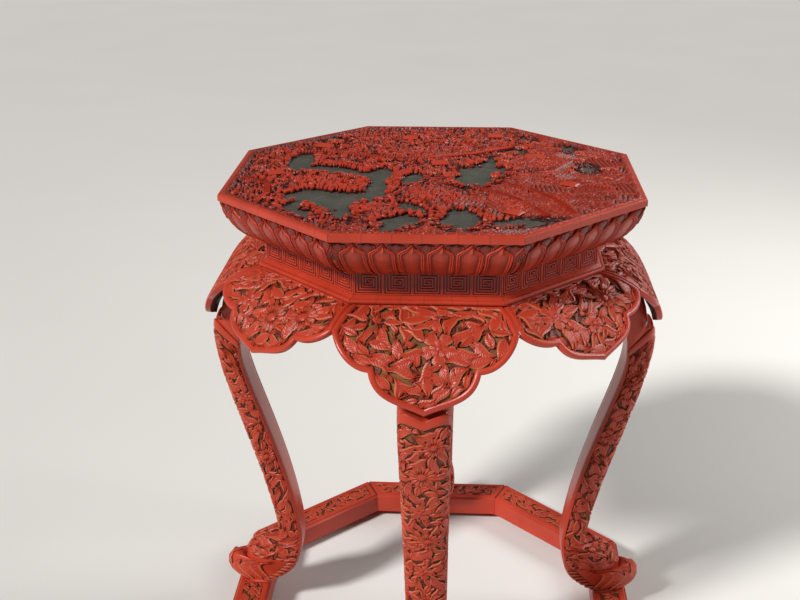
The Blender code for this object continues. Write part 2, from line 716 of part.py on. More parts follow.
def mound(place, bottom, top):
    """An upright prism on one of the field's ellipses, to be added as a knoll or cut out as a pool."""
    right, behind, length, width, turn = place
    bm = bmesh.new()
    bmesh.ops.create_cone(bm, cap_ends=True, segments=SHORE_SIDES, radius1=1.0, radius2=1.0, depth=1.0)
    bmesh.ops.scale(bm, vec=(length, width, top - bottom), verts=bm.verts)
    bmesh.ops.rotate(bm, cent=(0, 0, 0), matrix=Matrix.Rotation(math.radians(turn), 3, "Z"), verts=bm.verts)
    bmesh.ops.translate(bm, vec=(right, behind, (top + bottom) / 2), verts=bm.verts)
    return mesh_from(bm, "mound")


def field_mesh():
    """The thick lacquer coat on panel and rails, carved as a landscape: land with knolls, and pools."""
    bottom = FIELD_TOP + JOINT_GAP
    land = FIELD_TOP + LAND_HEIGHT
    plate = octagon_plate("carved_field", TOP_OUT - RIM_BORDER - JOINT_GAP, bottom, land)
    knolls = [mound(place, (bottom + land) / 2, land + KNOLL_HEIGHT) for place in KNOLLS.values()]
    pools = [mound(place, bottom - LAND_HEIGHT, land + 2 * KNOLL_HEIGHT) for place in POOLS.values()]
    return jointed(plate, knolls, pools)


def batten_mesh(offset):
    """A batten under the panel from the front rail to the back one, with a tenon at each end."""
    reach = RAIL_IN - JOINT_GAP
    top = PANEL_BOTTOM - JOINT_GAP
    half = BATTEN_WIDTH / 2
    bar = block((offset - half, -reach, top - BATTEN_DEPTH), (offset + half, reach, top))
    tenons = [block(*batten_tenon_box(offset, 0.0)), block(*batten_tenon_box(-offset, 0.0), turn=math.pi)]
    return jointed(bar, tenons)


clear_scene()
parts = bpy.data.collections.new("octagonal_lacquer_stand")
bpy.context.scene.collection.children.link(parts)
stand = bpy.data.objects.new("stand_axis", None)
parts.objects.link(stand)

carved_red = lacquer("carved_cinnabar_lacquer", (0.42, 0.045, 0.026), 0.42)
plain_red = lacquer("plain_cinnabar_lacquer", (0.48, 0.055, 0.030), 0.34)
dark_ground = lacquer("dark_ground_lacquer", (0.035, 0.036, 0.030), 0.50)
black_back = lacquer("black_lacquered_wood", (0.012, 0.010, 0.010), 0.55)

pad = pad_mesh()
rings = {carries: ring_mesh(carries) for carries in (False, True)}
leg_apron = apron_mesh("leg_apron", LEG_LAPPET_NOTCH_DROP, LEG_LAPPET_TIP_DROP)
side_apron = apron_mesh("side_apron", SIDE_LAPPET_NOTCH_DROP, SIDE_LAPPET_TIP_DROP)
leg = leg_mesh()
moulding = moulding_mesh()
waist = waist_mesh()
rails = {key: rail_mesh(*key) for key in ((False, False), (True, False), (True, True))}

for side, name in enumerate(SIDE_NAMES):
    turn = side_turn(side)
    over_leg = side in LEG_SIDES
    add_part(f"foot_pad_{side + 1}", pad, plain_red, turn)
    add_part(f"base_rail_{name}", rings[over_leg], carved_red, turn)
    add_part(f"apron_{name}", leg_apron if over_leg else side_apron, carved_red, turn)
    if over_leg:
        add_part(f"leg_{name}", leg, carved_red, turn)
    add_part(f"waist_moulding_{name}", moulding, plain_red, turn)
    add_part(f"waist_board_{name}", waist, carved_red, turn)
    add_part(f"top_rail_{name}", rails[over_leg, side in BATTEN_SIDES], plain_red, turn)

add_part("top_panel", panel_mesh(), dark_ground)
add_part("carved_field", field_mesh(), carved_red)
for name, direction in (("left", -1), ("right", 1)):
    add_part(f"batten_{name}", batten_mesh(direction * BATTEN_SPACING / 2), black_back)
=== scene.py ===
import math

import bmesh
import bpy
import numpy as np
from mathutils import Matrix, Vector
from mathutils.bvhtree import BVHTree
from mathutils.geometry import delaunay_2d_cdt


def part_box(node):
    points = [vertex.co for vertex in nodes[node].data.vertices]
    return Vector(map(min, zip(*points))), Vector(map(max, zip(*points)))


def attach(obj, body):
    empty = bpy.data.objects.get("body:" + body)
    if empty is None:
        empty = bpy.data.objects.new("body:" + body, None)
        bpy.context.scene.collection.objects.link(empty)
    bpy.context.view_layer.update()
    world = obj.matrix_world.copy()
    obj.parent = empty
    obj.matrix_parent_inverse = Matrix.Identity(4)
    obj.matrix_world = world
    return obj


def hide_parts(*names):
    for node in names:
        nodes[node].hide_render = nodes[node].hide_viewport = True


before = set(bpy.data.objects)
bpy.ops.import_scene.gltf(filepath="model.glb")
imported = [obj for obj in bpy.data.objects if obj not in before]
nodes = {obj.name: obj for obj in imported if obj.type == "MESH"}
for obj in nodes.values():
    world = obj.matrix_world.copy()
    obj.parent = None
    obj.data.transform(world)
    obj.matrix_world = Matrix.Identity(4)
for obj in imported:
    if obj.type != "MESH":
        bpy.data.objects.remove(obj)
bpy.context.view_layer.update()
scene = bpy.context.scene
scene.view_settings.view_transform = "Standard"


# Studio
# A pale paper floor under a weak even sky, a sun-like key from the upper left, a fill from the right and an
# edge light from behind. The camera stands a little right of the front and looks down on the top.

PHOTO_WIDTH = 800
FOCAL_LENGTH_IN_PIXELS = 1208.4
CAMERA_PLACE = Vector((0.0360, -1.1616, 0.8232))
CAMERA_YAW = -0.0600
CAMERA_PITCH = 0.3718
CAMERA_ROLL = -0.0046
FLOOR_REACH = 15.0
PAPER = ("#dedbd6", "#e4e1dc")
PAPER_CLOUD = 0.4
LAMP_AIM = Vector((0.0, 0.0, 0.32))
LAMPS = {
    "key_from_upper_left": ("SUN", (-0.95, -0.90, 1.36), 3.35, math.radians(9)),
    "fill_from_right": ("AREA", (1.5, 0.20, 0.95), 9.0, 0.5),
    "edge_from_back_right": ("AREA", (1.15, 1.05, 1.25), 9.0, 0.8),
}
SKY = "#f2f0ec"
SKY_LIGHT = 0.16
SKY_MORE_WHEN_SEEN = 0.64

MATH = "ShaderNodeMath"
MIX = "ShaderNodeMix"
NOISE = "ShaderNodeTexNoise"


def connect(tree, made, links):
    """Sets a node's inputs, by name or number, to values or to other nodes' outputs."""
    for key, value in links.items():
        if isinstance(value, bpy.types.NodeSocket):
            tree.links.new(value, made.inputs[key])
        else:
            made.inputs[key].default_value = value


def node(tree, kind, links=None, out=0, **settings):
    """Adds a node with its settings and links, and gives one of its outputs, or all if out is None."""
    made = tree.nodes.new(kind)
    for name, value in settings.items():
        setattr(made, name, value)
    connect(tree, made, links or {})
    return made.outputs if out is None else made.outputs[out]


def linear(code):
    """A hex sRGB colour as the linear RGBA that shaders take."""
    parts = [int(code[i:i + 2], 16) / 255 for i in (1, 3, 5)]
    return tuple(p / 12.92 if p <= 0.04045 else ((p + 0.055) / 1.055) ** 2.4 for p in parts) + (1.0,)


def new_material(name):
    """A material, its tree, its shader, and the place on the piece in metres."""
    material = bpy.data.materials.new(name)
    material.use_nodes = True
    tree = material.node_tree
    return material, tree, tree.nodes["Principled BSDF"], node(tree, "ShaderNodeTexCoord", out="Object")


def clouded(tree, place, size, detail, first, second):
    """A colour that drifts from one to another in clouds of a size, and the drift itself."""
    drift = node(tree, NOISE, {"Vector": place, "Scale": 1 / size, "Detail": detail}, "Fac")
    return node(tree, MIX, {0: drift, 6: linear(first), 7: linear(second)}, 2, data_type="RGBA"), drift


def mesh_from(name, bm):
    mesh = bpy.data.meshes.new(name)
    bm.to_mesh(mesh)
    bm.free()
    return mesh


def new_object(name, data):
    piece = bpy.data.objects.new(name, data)
    scene.collection.objects.link(piece)
    return piece


forward = Vector((
    math.sin(CAMERA_YAW) * math.cos(CAMERA_PITCH),
    math.cos(CAMERA_YAW) * math.cos(CAMERA_PITCH),
    -math.sin(CAMERA_PITCH),
))
level_right = Vector((math.cos(CAMERA_YAW), -math.sin(CAMERA_YAW), 0.0))
level_up = level_right.cross(forward)
camera_right = level_right * math.cos(CAMERA_ROLL) + level_up * math.sin(CAMERA_ROLL)
camera_up = level_up * math.cos(CAMERA_ROLL) - level_right * math.sin(CAMERA_ROLL)
camera_data = bpy.data.cameras.new("photo_camera")
camera_data.lens = FOCAL_LENGTH_IN_PIXELS * camera_data.sensor_width / PHOTO_WIDTH
camera = new_object("photo_camera", camera_data)
camera.matrix_world = (
    Matrix.Translation(CAMERA_PLACE) @ Matrix((camera_right, camera_up, -forward)).transposed().to_4x4()
)
scene.camera = camera

# Matt studio paper: nearly even, with a faint cloudiness
paper, tree, shader, place = new_material("studio_paper_matt")
connect(tree, shader, {"Base Color": clouded(tree, place, PAPER_CLOUD, 2.0, *PAPER)[0], "Roughness": 0.9})

bm = bmesh.new()
bmesh.ops.create_grid(bm, x_segments=4, y_segments=4, size=FLOOR_REACH)
floor = new_object("studio_floor", mesh_from("studio_floor", bm))
floor.data.materials.append(paper)

for name, (kind, spot, power, spread) in LAMPS.items():
    lamp_data = bpy.data.lights.new(name, kind)
    lamp_data.energy = power
    setattr(lamp_data, "angle" if kind == "SUN" else "size", spread)
    lamp = new_object(name, lamp_data)
    lamp.location = spot
    lamp.rotation_euler = (LAMP_AIM - lamp.location).to_track_quat("-Z", "Y").to_euler()

world = bpy.data.worlds.new("even_sky")
world.use_nodes = True
tree = world.node_tree
seen = node(tree, "ShaderNodeLightPath", out="Is Camera Ray")
level = node(tree, MATH, {0: seen, 1: SKY_MORE_WHEN_SEEN, 2: SKY_LIGHT}, operation="MULTIPLY_ADD")
connect(tree, tree.nodes["Background"], {"Color": linear(SKY), "Strength": level})
scene.world = world


# Base frame and pads
# Eight mitred lengths of wood make an octagon on small pads, under many thin brushed coats of cinnabar
# lacquer. The upper and outer faces are carved with low leaf scrolls between plain bands, down to an ochre
# coat, and the inner and lower faces are left plain and rubbed.

SIDE_NAMES = ("front", "front_right", "right", "back_right", "back", "back_left", "left", "front_left")
MITRE = math.tan(math.pi / 8)
RING_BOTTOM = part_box("base_rail_front")[0].z
RING_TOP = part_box("base_rail_front")[1].z
RING_OUT = -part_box("base_rail_front")[0].y
RING_IN = -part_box("base_rail_front")[1].y
RING_EDGE = 0.002
RING_FOOT = 0.001
RING_RELIEF = 0.0016
RING_BAND = 0.0055
RING_FACE_BAND = 0.6 * RING_BAND
RING_END_SHARE = 0.985
RING_LEAF = 0.0135
RING_STEM = 0.0013
SKIN = 0.0001
RED_LIT = "#c8442b"
RED_DEEP = "#9e2c1a"
# A near-black maroon for the carving's low parts: partly the cut lacquer, partly painted shade in the
# recesses
RED_CUT_AND_SHADE = "#2e0806"
# A pale tan for raised edges: partly rubbed wear, partly painted highlight
RED_WORN_AND_HIGHLIGHT = "#c9825a"
RED_CRACK = "#6a1a10"
OCHRE = "#57361a"
LACQUER_SHINE = 0.42
CRACKS = 7.0
HIDDEN_ABOVE = 0.42

ATTRIBUTE = "ShaderNodeAttribute"
BUMP = "ShaderNodeBump"
MAP_RANGE = "ShaderNodeMapRange"
SEPARATE = "ShaderNodeSeparateXYZ"
VECTOR_MATH = "ShaderNodeVectorMath"
VORONOI = "ShaderNodeTexVoronoi"


# Cinnabar lacquer left plain and rubbed smooth: a soft gloss and a slow drift in the red. Long mitred pieces
# show hair cracks across them, and another coat may show on faces turned inwards or down, or up and out.
def rubbed_cinnabar(name, cracked=False, inside=None, outside=None):
    material, tree, shader, place = new_material(name)
    colour, drift = clouded(tree, place, 0.035, 4.0, RED_DEEP, RED_LIT)
    spot = node(tree, SEPARATE, {0: place}, None)
    facing = node(tree, "ShaderNodeNewGeometry", out="Normal")
    level = node(tree, VECTOR_MATH, {0: place, 1: (1.0, 1.0, 0.0)}, operation="MULTIPLY")
    radial = node(tree, VECTOR_MATH, {0: level}, operation="NORMALIZE")
    outward = node(tree, VECTOR_MATH, {0: facing, 1: radial}, "Value", operation="DOT_PRODUCT")
    upward = node(tree, SEPARATE, {0: facing}, "Z")
    if cracked:
        angle = node(tree, MATH, {0: spot["Y"], 1: spot["X"]}, operation="ARCTAN2")
        links = {"W": angle, "Scale": CRACKS, "Randomness": 1.0}
        gap = node(tree, VORONOI, links, "Distance", voronoi_dimensions="1D", feature="DISTANCE_TO_EDGE")
        sound = node(tree, MAP_RANGE, {"Value": gap, "From Min": 0.003, "From Max": 0.009})
        colour = node(tree, MIX, {0: sound, 6: linear(RED_CRACK), 7: colour}, 2, data_type="RGBA")
    if inside:
        inward = node(tree, MATH, {0: outward, 1: -0.3}, operation="LESS_THAN")
        under = node(tree, MATH, {0: upward, 1: -0.98}, operation="LESS_THAN")
        either = node(tree, MATH, {0: inward, 1: under}, operation="MAXIMUM")
        high = node(tree, MATH, {0: spot["Z"], 1: HIDDEN_ABOVE}, operation="GREATER_THAN")
        hidden = node(tree, MATH, {0: either, 1: high}, operation="MULTIPLY")
        colour = node(tree, MIX, {0: hidden, 6: colour, 7: linear(inside)}, 2, data_type="RGBA")
    if outside:
        most = node(tree, MATH, {0: outward, 1: upward}, operation="MAXIMUM")
        cut = node(tree, MATH, {0: most, 1: 0.85}, operation="GREATER_THAN")
        colour = node(tree, MIX, {0: cut, 6: colour, 7: linear(outside)}, 2, data_type="RGBA")
    grain = node(tree, NOISE, {"Vector": place, "Scale": 1 / 0.004, "Detail": 3.0}, "Fac")
    connect(tree, shader, {
        "Base Color": colour,
        "Roughness": node(tree, MAP_RANGE, {"Value": drift, "To Min": 0.27, "To Max": 0.40}),
        "Normal": node(tree, BUMP, {"Height": grain, "Strength": 0.12, "Distance": 0.001}),
        "Specular IOR Level": LACQUER_SHINE,
    })
    return material


plain_lacquer = rubbed_cinnabar("cinnabar_lacquer_rubbed_plain")
based_lacquer = rubbed_cinnabar("cinnabar_lacquer_ochre_ground", outside=OCHRE)

# Carved cinnabar lacquer: bright on top, with engraved veins. Its cut sides and low parts darken towards
# near-black, partly the darker cut lacquer and partly painted shade; its raised edges are paler, partly
# rubbed wear and partly painted highlight
carved_lacquer, tree, shader, place = new_material("cinnabar_lacquer_hand_carved")
red = clouded(tree, place, 0.02, 4.0, RED_DEEP, RED_LIT)[0]
lift = node(tree, ATTRIBUTE, out="Fac", attribute_name="lift")
height = node(tree, MAP_RANGE, {"Value": lift, "From Min": 0.22, "From Max": 0.76})
# Painted shade: the lower a point of the carving lies, the nearer its colour goes to the near-black maroon
cut = node(tree, MIX, {0: height, 6: linear(RED_CUT_AND_SHADE), 7: red}, 2, data_type="RGBA")
vein = node(tree, SEPARATE, {0: node(tree, ATTRIBUTE, out="Vector", attribute_name="vein")}, None)
# Painted highlight and rubbed wear: the high, raised edges of leaves and petals turn pale tan
edge = node(tree, MAP_RANGE, {"Value": vein["Y"], "From Min": 0.60, "To Max": 0.62})
rubbed_and_highlit = node(tree, MATH, {0: edge, 1: height}, operation="MULTIPLY")
slant = node(tree, MATH, {0: vein["Y"], 1: -0.22, 2: vein["X"]}, operation="MULTIPLY_ADD")
slant = node(tree, MATH, {0: slant, 1: 50.0}, operation="MULTIPLY")
stripe = node(tree, MATH, {0: slant}, operation="SINE")
knife = node(tree, NOISE, {"Vector": place, "Scale": 1 / 0.003, "Detail": 3.0}, "Fac")
worked = node(tree, MATH, {0: stripe, 1: 0.35, 2: knife}, operation="MULTIPLY_ADD")
connect(tree, shader, {
    "Base Color": node(tree, MIX, {0: rubbed_and_highlit, 6: cut, 7: linear(RED_WORN_AND_HIGHLIGHT)}, 2, data_type="RGBA"),
    "Roughness": 0.37,
    "Normal": node(tree, BUMP, {"Height": worked, "Strength": 0.35, "Distance": 0.0006}),
    "Specular IOR Level": LACQUER_SHINE,
})

for number, name in enumerate(SIDE_NAMES, start=1):
    nodes[f"base_rail_{name}"].material_slots[0].material = based_lacquer
    nodes[f"foot_pad_{number}"].material_slots[0].material = plain_lacquer

# A leaf is modelled once, one unit long and high, from (share of its half width, height) points across it.
# Nodes set copies of it on the points of a flat drawing, and wrap the drawing on the piece.
LEAF_SECTION = ((-1.0, 0.74), (-0.52, 1.0), (0.0, 0.76), (0.52, 1.0), (1.0, 0.74))
LEAF_WIDTH = 0.46
LEAF_SKEW = 0.82
LEAF_TURNS = ((-0.20, 0.20), (0.05, -0.10), (0.22, -0.20))
STALK = 0.03
CUT_END = -0.1


def blade(bm, width, skew, steps, bend=0.0, tilt=0.0, turn=0.0, start=0.0, reach=1.0, rise=1.0,
          section=LEAF_SECTION):
    """A leaf or petal laid along a turned axis, with a cut side dropping from its edge to the ground."""
    vein = bm.verts.layers.float_vector.get("vein") or bm.verts.layers.float_vector.new("vein")
    rows = []
    for i in range(steps + 1):
        t = i / steps
        half = width / 2 * math.sin(math.pi * t ** skew) + STALK / 2
        row = []
        for side, high in section:
            along = start + reach * t
            aside = bend * math.sin(math.pi * t ** 1.4) + side * half
            vert = bm.verts.new((
                along * math.cos(turn) - aside * math.sin(turn),
                along * math.sin(turn) + aside * math.cos(turn),
                rise * high * (1 + tilt * side),
            ))
            vert[vein] = (t, abs(side), 0.0)
            row.append(vert)
        rows.append(row)
    top = []
    for low, high in zip(rows, rows[1:]):
        for j in range(len(section) - 1):
            top.append(bm.faces.new((low[j], high[j], high[j + 1], low[j + 1])))
    rim = list({edge for face in top for edge in face.edges if edge.is_boundary})
    for item in bmesh.ops.extrude_edge_only(bm, edges=rim)["geom"]:
        if isinstance(item, bmesh.types.BMVert):
            item.co.z = CUT_END


templates = []


def template(name, mesh):
    """An object that pieces are made from, which goes when they are done."""
    templates.append(new_object(name, mesh))
    return templates[-1]


leaves = []
for bend, tilt in LEAF_TURNS:
    bm = bmesh.new()
    blade(bm, LEAF_WIDTH, LEAF_SKEW, 6, bend=bend, tilt=tilt)
    leaves.append(template("leaf", mesh_from("leaf", bm)))
LEAVES = (1, 2, 3)

COMBINE = "ShaderNodeCombineXYZ"
COMPARE = "FunctionNodeCompare"
DELETE = "GeometryNodeDeleteGeometry"
OBJECT_INFO = "GeometryNodeObjectInfo"
ON_POINTS = "GeometryNodeInstanceOnPoints"
SET_MATERIAL = "GeometryNodeSetMaterial"
STORE = "GeometryNodeStoreNamedAttribute"


def new_tree(name, inputs):
    """A tree of geometry nodes with these named inputs, and what they give."""
    tree = bpy.data.node_groups.new(name, "GeometryNodeTree")
    for label, kind in inputs.items():
        tree.interface.new_socket(label, in_out="INPUT", socket_type="NodeSocket" + kind)
    tree.interface.new_socket("Result", in_out="OUTPUT", socket_type="NodeSocketGeometry")
    return tree, node(tree, "NodeGroupInput", out=None)


def carving_tree(shapes):
    """Sets shapes on the points of a flat drawing, then wraps all of it on a surface by its flat map."""
    tree, given = new_tree("carving_on_a_surface", {
        "Drawing": "Geometry",
        "Surface": "Object",
        "Relief": "Float",
        "Carved finish": "Material",
        "Plain finish": "Material",
    })
    stored = {}
    kinds = {"INT": ("kind",), "FLOAT": ("turn", "plain"), "FLOAT_VECTOR": ("size", "flat", "outward")}
    for kind, names in kinds.items():
        for name in names:
            stored[name] = node(tree, "GeometryNodeInputNamedAttribute", {"Name": name}, data_type=kind)
    facing = node(tree, "FunctionNodeEulerToRotation", {0: node(tree, COMBINE, {"Z": stored["turn"]})})
    is_point = node(tree, COMPARE, {2: stored["kind"], 3: 0}, data_type="INT", operation="GREATER_THAN")
    joined = node(tree, "GeometryNodeJoinGeometry")
    bands = node(tree, DELETE, {"Geometry": given["Drawing"], "Selection": is_point})
    connect(tree, joined.node, {0: bands})
    for number, shape in enumerate(shapes, start=1):
        chosen = node(tree, COMPARE, {2: stored["kind"], 3: number}, data_type="INT", operation="EQUAL")
        copies = node(tree, ON_POINTS, {
            "Points": given["Drawing"],
            "Selection": chosen,
            "Instance": node(tree, OBJECT_INFO, {"Object": shape, "As Instance": True}, "Geometry"),
            "Rotation": facing,
            "Scale": stored["size"],
        })
        connect(tree, joined.node, {0: copies})
    real = node(tree, "GeometryNodeRealizeInstances", {0: joined})
    spot = node(tree, "GeometryNodeInputPosition")
    height = node(tree, SEPARATE, {0: spot}, "Z")
    share = node(tree, MATH, {0: height, 1: given["Relief"]}, operation="DIVIDE")
    links = {"Geometry": real, "Name": "lift", "Value": share}
    lifted = node(tree, STORE, links, data_type="FLOAT", domain="POINT")
    target = node(tree, OBJECT_INFO, {"Object": given["Surface"]}, "Geometry")
    found, way = (
        node(
            tree,
            "GeometryNodeSampleUVSurface",
            {"Mesh": target, "Value": value, "Source UV Map": stored["flat"], "Sample UV": spot},
            None,
            data_type="FLOAT_VECTOR",
        )
        for value in (spot, stored["outward"])
    )
    missed = node(tree, "FunctionNodeBooleanMath", {0: found["Is Valid"]}, operation="NOT")
    kept = node(tree, DELETE, {"Geometry": lifted, "Selection": missed})
    links = {0: way["Value"], 1: height, 2: found["Value"]}
    raised = node(tree, VECTOR_MATH, links, operation="MULTIPLY_ADD")
    wrapped = node(tree, "GeometryNodeSetPosition", {"Geometry": kept, "Position": raised})
    is_plain = node(tree, COMPARE, {0: stored["plain"], 1: 0.5}, data_type="FLOAT", operation="GREATER_THAN")
    cut = node(tree, SET_MATERIAL, {"Geometry": wrapped, "Material": given["Carved finish"]})
    links = {"Geometry": cut, "Selection": is_plain, "Material": given["Plain finish"]}
    node(tree, "NodeGroupOutput", {0: node(tree, SET_MATERIAL, links)}, None)
    return tree


def smooth(mesh, degrees):
    mesh.shade_smooth()
    mesh.set_sharp_from_angle(angle=math.radians(degrees))


def made_by_nodes(name, mesh, tree, values):
    """A plain mesh object with what a node tree makes of a mesh; values are by the tree's input names."""
    piece = new_object(name, mesh)
    modifier = piece.modifiers.new("nodes", "NODES")
    modifier.node_group = tree
    for item in tree.interface.items_tree:
        if item.in_out == "INPUT" and item.name in values:
            modifier[item.identifier] = values[item.name]
    graph = bpy.context.evaluated_depsgraph_get()
    result = bpy.data.meshes.new_from_object(piece.evaluated_get(graph), depsgraph=graph)
    result.name = name
    piece.modifiers.remove(modifier)
    piece.data = result
    smooth(result, 40)
    return piece


def carve(name, bm, surface, relief, tree):
    """A drawing wrapped on its surface and carved."""
    return made_by_nodes(name, mesh_from("drawing", bm), tree, {
        "Surface": surface,
        "Relief": relief,
        "Carved finish": carved_lacquer,
        "Plain finish": plain_lacquer,
    })


def settle(piece, side=0):
    """Turns a piece made for the front to its own side, and makes it part of the stand."""
    piece.data.transform(Matrix.Rotation(side * math.tau / 8, 4, "Z"))
    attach(piece, "root")
    return piece


def new_drawing():
    """A flat drawing: bands are faces, and a motif is a loose point with its kind, turn and size."""
    bm = bmesh.new()
    bm.verts.layers.int.new("kind")
    bm.verts.layers.float.new("turn")
    bm.verts.layers.float.new("plain")
    bm.verts.layers.float_vector.new("size")
    return bm


def beside(line, distance, closed):
    """A line moved to its left by a distance, with mitred corners."""
    points = np.asarray(line, float)
    step = np.roll(points, -1, 0) - points
    if not closed:
        step[-1] = step[-2]
    step /= np.linalg.norm(step, axis=1, keepdims=True)
    before = np.roll(step, 1, 0)
    if not closed:
        before[0] = step[0]
    normal = np.stack([-step[:, 1] - before[:, 1], step[:, 0] + before[:, 0]], 1)
    normal /= np.linalg.norm(normal, axis=1, keepdims=True)
    lean = np.clip(normal[:, 0] * -step[:, 1] + normal[:, 1] * step[:, 0], 0.5, 1.0)
    return points + normal * (distance / lean)[:, None]


BAND = ((0.0, CUT_END), (0.0, 0.82), (0.14, 1.0), (0.86, 1.0), (1.0, 0.82), (1.0, CUT_END))
STEM = ((0.0, CUT_END), (0.1, 0.55), (0.5, 0.8), (0.9, 0.55), (1.0, CUT_END))


def draw_band(bm, line, width, relief, profile=BAND, closed=False, centred=False, plain=1.0):
    """A raised band left of a line, or over it when centred, with a section of (share, height) points."""
    layer = bm.verts.layers.float["plain"]
    rows = []
    for share, high in profile:
        spots = beside(line, (share - 0.5 * centred) * width, closed)
        row = [bm.verts.new((a, b, high * relief)) for a, b in spots]
        for vert in row:
            vert[layer] = plain
        rows.append(row)
    count = len(rows[0])
    for outer, inner in zip(rows, rows[1:]):
        for i in range(count if closed else count - 1):
            j = (i + 1) % count
            bm.faces.new((outer[i], outer[j], inner[j], inner[i]))


def draw_motifs(bm, layout, relief):
    kind_layer, turn_layer = bm.verts.layers.int["kind"], bm.verts.layers.float["turn"]
    size_layer = bm.verts.layers.float_vector["size"]
    for a, b, turn, length, kind in layout:
        vert = bm.verts.new((a, b, 0.0))
        vert[kind_layer] = kind
        vert[turn_layer] = turn
        vert[size_layer] = (length, length, relief)


def within(points, outline):
    """Which points lie inside a closed outline."""
    x, y = points[:, 0], points[:, 1]
    inside = np.zeros(len(points), bool)
    for (x0, y0), (x1, y1) in zip(outline, np.roll(outline, -1, 0)):
        crosses = (y0 > y) != (y1 > y)
        inside ^= crosses & (x < (x1 - x0) * (y - y0) / (y1 - y0 + 1e-12) + x0)
    return inside


# How leaves are laid: the cell that room is counted in, the shares of a leaf that must lie inside and be
# free, and the sizes tried in a gap, in times its depth
CELL = 0.001
LEAF_SPOTS = np.array([
    (t, side * LEAF_WIDTH / 2 * math.sin(math.pi * t ** LEAF_SKEW))
    for t in np.linspace(0.02, 0.99, 26)
    for side in np.linspace(-1.0, 1.0, 11)
])
SHARE_INSIDE = 0.93
FLOWER_COVER = 0.92
LEAF_FOOT = 0.85
FREE_BY_FLOWER = 0.86
FREE_IN_SPRAY = 0.90
FREE_IN_GAP = 0.76
LEAVES_BY_FLOWER = 7
SPRAYS_TRIED = 260
SPRAY_FAN = (0.0, 0.75, -0.75, 1.5, -1.5)
STEM_REACH = 2.6
GAP_LEAVES = (8.5, 7.0, 5.6, 4.4, 3.4)
GAP_TURNS = 16
SHORTEST_LEAF = 0.0045


def lay_leaves(outline, flowers, leaf_length, seed):
    """Fills an outline with flowers at given places, leaves round them, sprays, and leaves fitted to gaps.
    Returns the motifs and the stems that join each spray to what grew before it."""
    rng = np.random.default_rng(seed)
    edge = np.asarray(outline, float)
    low = edge.min(0) - CELL
    count = np.ceil((edge.max(0) + CELL - low) / CELL).astype(int) + 1
    grid = np.stack(np.meshgrid(*[low[i] + CELL * np.arange(count[i]) for i in (0, 1)], indexing="ij"), -1)
    inside = within(grid.reshape(-1, 2), edge).reshape(count)
    free = inside.copy()
    laid, stems, joints = [], [], []

    def cells_of(a, b, turn, length):
        c, s = math.cos(turn) * length, math.sin(turn) * length
        x = a + LEAF_SPOTS[:, 0] * c - LEAF_SPOTS[:, 1] * s
        y = b + LEAF_SPOTS[:, 0] * s + LEAF_SPOTS[:, 1] * c
        i = np.clip(np.round((x - low[0]) / CELL).astype(int), 0, count[0] - 1)
        j = np.clip(np.round((y - low[1]) / CELL).astype(int), 0, count[1] - 1)
        return i, j

    def try_leaf(a, b, turn, length, need):
        i, j = cells_of(a, b, turn, length)
        if inside[i, j].mean() < SHARE_INSIDE or free[i, j].mean() < need:
            return False
        free[i, j] = False
        laid.append((a, b, turn, length, int(rng.choice(LEAVES))))
        return True

    def deepest():
        """The free cells that lie furthest from anything laid, and how many cells deep they are."""
        core, depth = free, 0
        while True:
            smaller = core.copy()
            for axis, way in ((0, -1), (0, 1), (1, -1), (1, 1)):
                smaller &= np.roll(core, way, axis)
            if not smaller.any():
                return np.argwhere(core), depth
            core, depth = smaller, depth + 1

    for a, b, radius, kind in flowers:
        laid.append((a, b, rng.uniform(0, math.tau), radius, kind))
        free[np.hypot(grid[..., 0] - a, grid[..., 1] - b) < FLOWER_COVER * radius] = False
        joints.append((a, b))
    for a, b, radius, kind in flowers:
        start = rng.uniform(0, math.tau)
        for k in range(LEAVES_BY_FLOWER):
            turn = start + k * math.tau / LEAVES_BY_FLOWER + rng.uniform(-0.2, 0.2)
            base = LEAF_FOOT * radius
            foot = (a + base * math.cos(turn), b + base * math.sin(turn))
            try_leaf(*foot, turn, leaf_length * rng.uniform(0.6, 1.0), FREE_BY_FLOWER)
    for _ in range(SPRAYS_TRIED):
        open_cells = np.argwhere(free)
        if not len(open_cells):
            break
        a, b = grid[tuple(rng.choice(open_cells))]
        nearest = min(joints, key=lambda p: math.hypot(p[0] - a, p[1] - b), default=None)
        heading = rng.uniform(0, math.tau)
        if nearest is not None:
            heading = math.atan2(b - nearest[1], a - nearest[0]) + rng.uniform(-0.7, 0.7)
        grown = 0
        for fan in SPRAY_FAN:
            turn = heading + fan + rng.uniform(-0.15, 0.15)
            grown += try_leaf(a, b, turn, leaf_length * rng.uniform(0.70, 1.15), FREE_IN_SPRAY)
        if grown:
            if nearest is not None and math.hypot(nearest[0] - a, nearest[1] - b) < STEM_REACH * leaf_length:
                stems.append(((a, b), nearest, rng.uniform(-0.25, 0.25)))
            joints.append((a, b))
    while True:
        cells, depth = deepest()
        if depth < 1:
            return laid, stems
        a, b = grid[tuple(rng.choice(cells))]
        for size in GAP_LEAVES:
            length = min(size * (depth + 0.5) * CELL, leaf_length)
            choices = []
            for turn in rng.uniform(0, math.tau) + np.arange(GAP_TURNS) * math.tau / GAP_TURNS:
                foot = (a - 0.5 * length * math.cos(turn), b - 0.5 * length * math.sin(turn))
                choices.append((free[cells_of(*foot, turn, length)].mean(), *foot, turn))
            if length > SHORTEST_LEAF and try_leaf(*max(choices)[1:], length, FREE_IN_GAP):
                break
        else:
            free[np.hypot(grid[..., 0] - a, grid[..., 1] - b) < (depth - 0.5) * CELL] = False


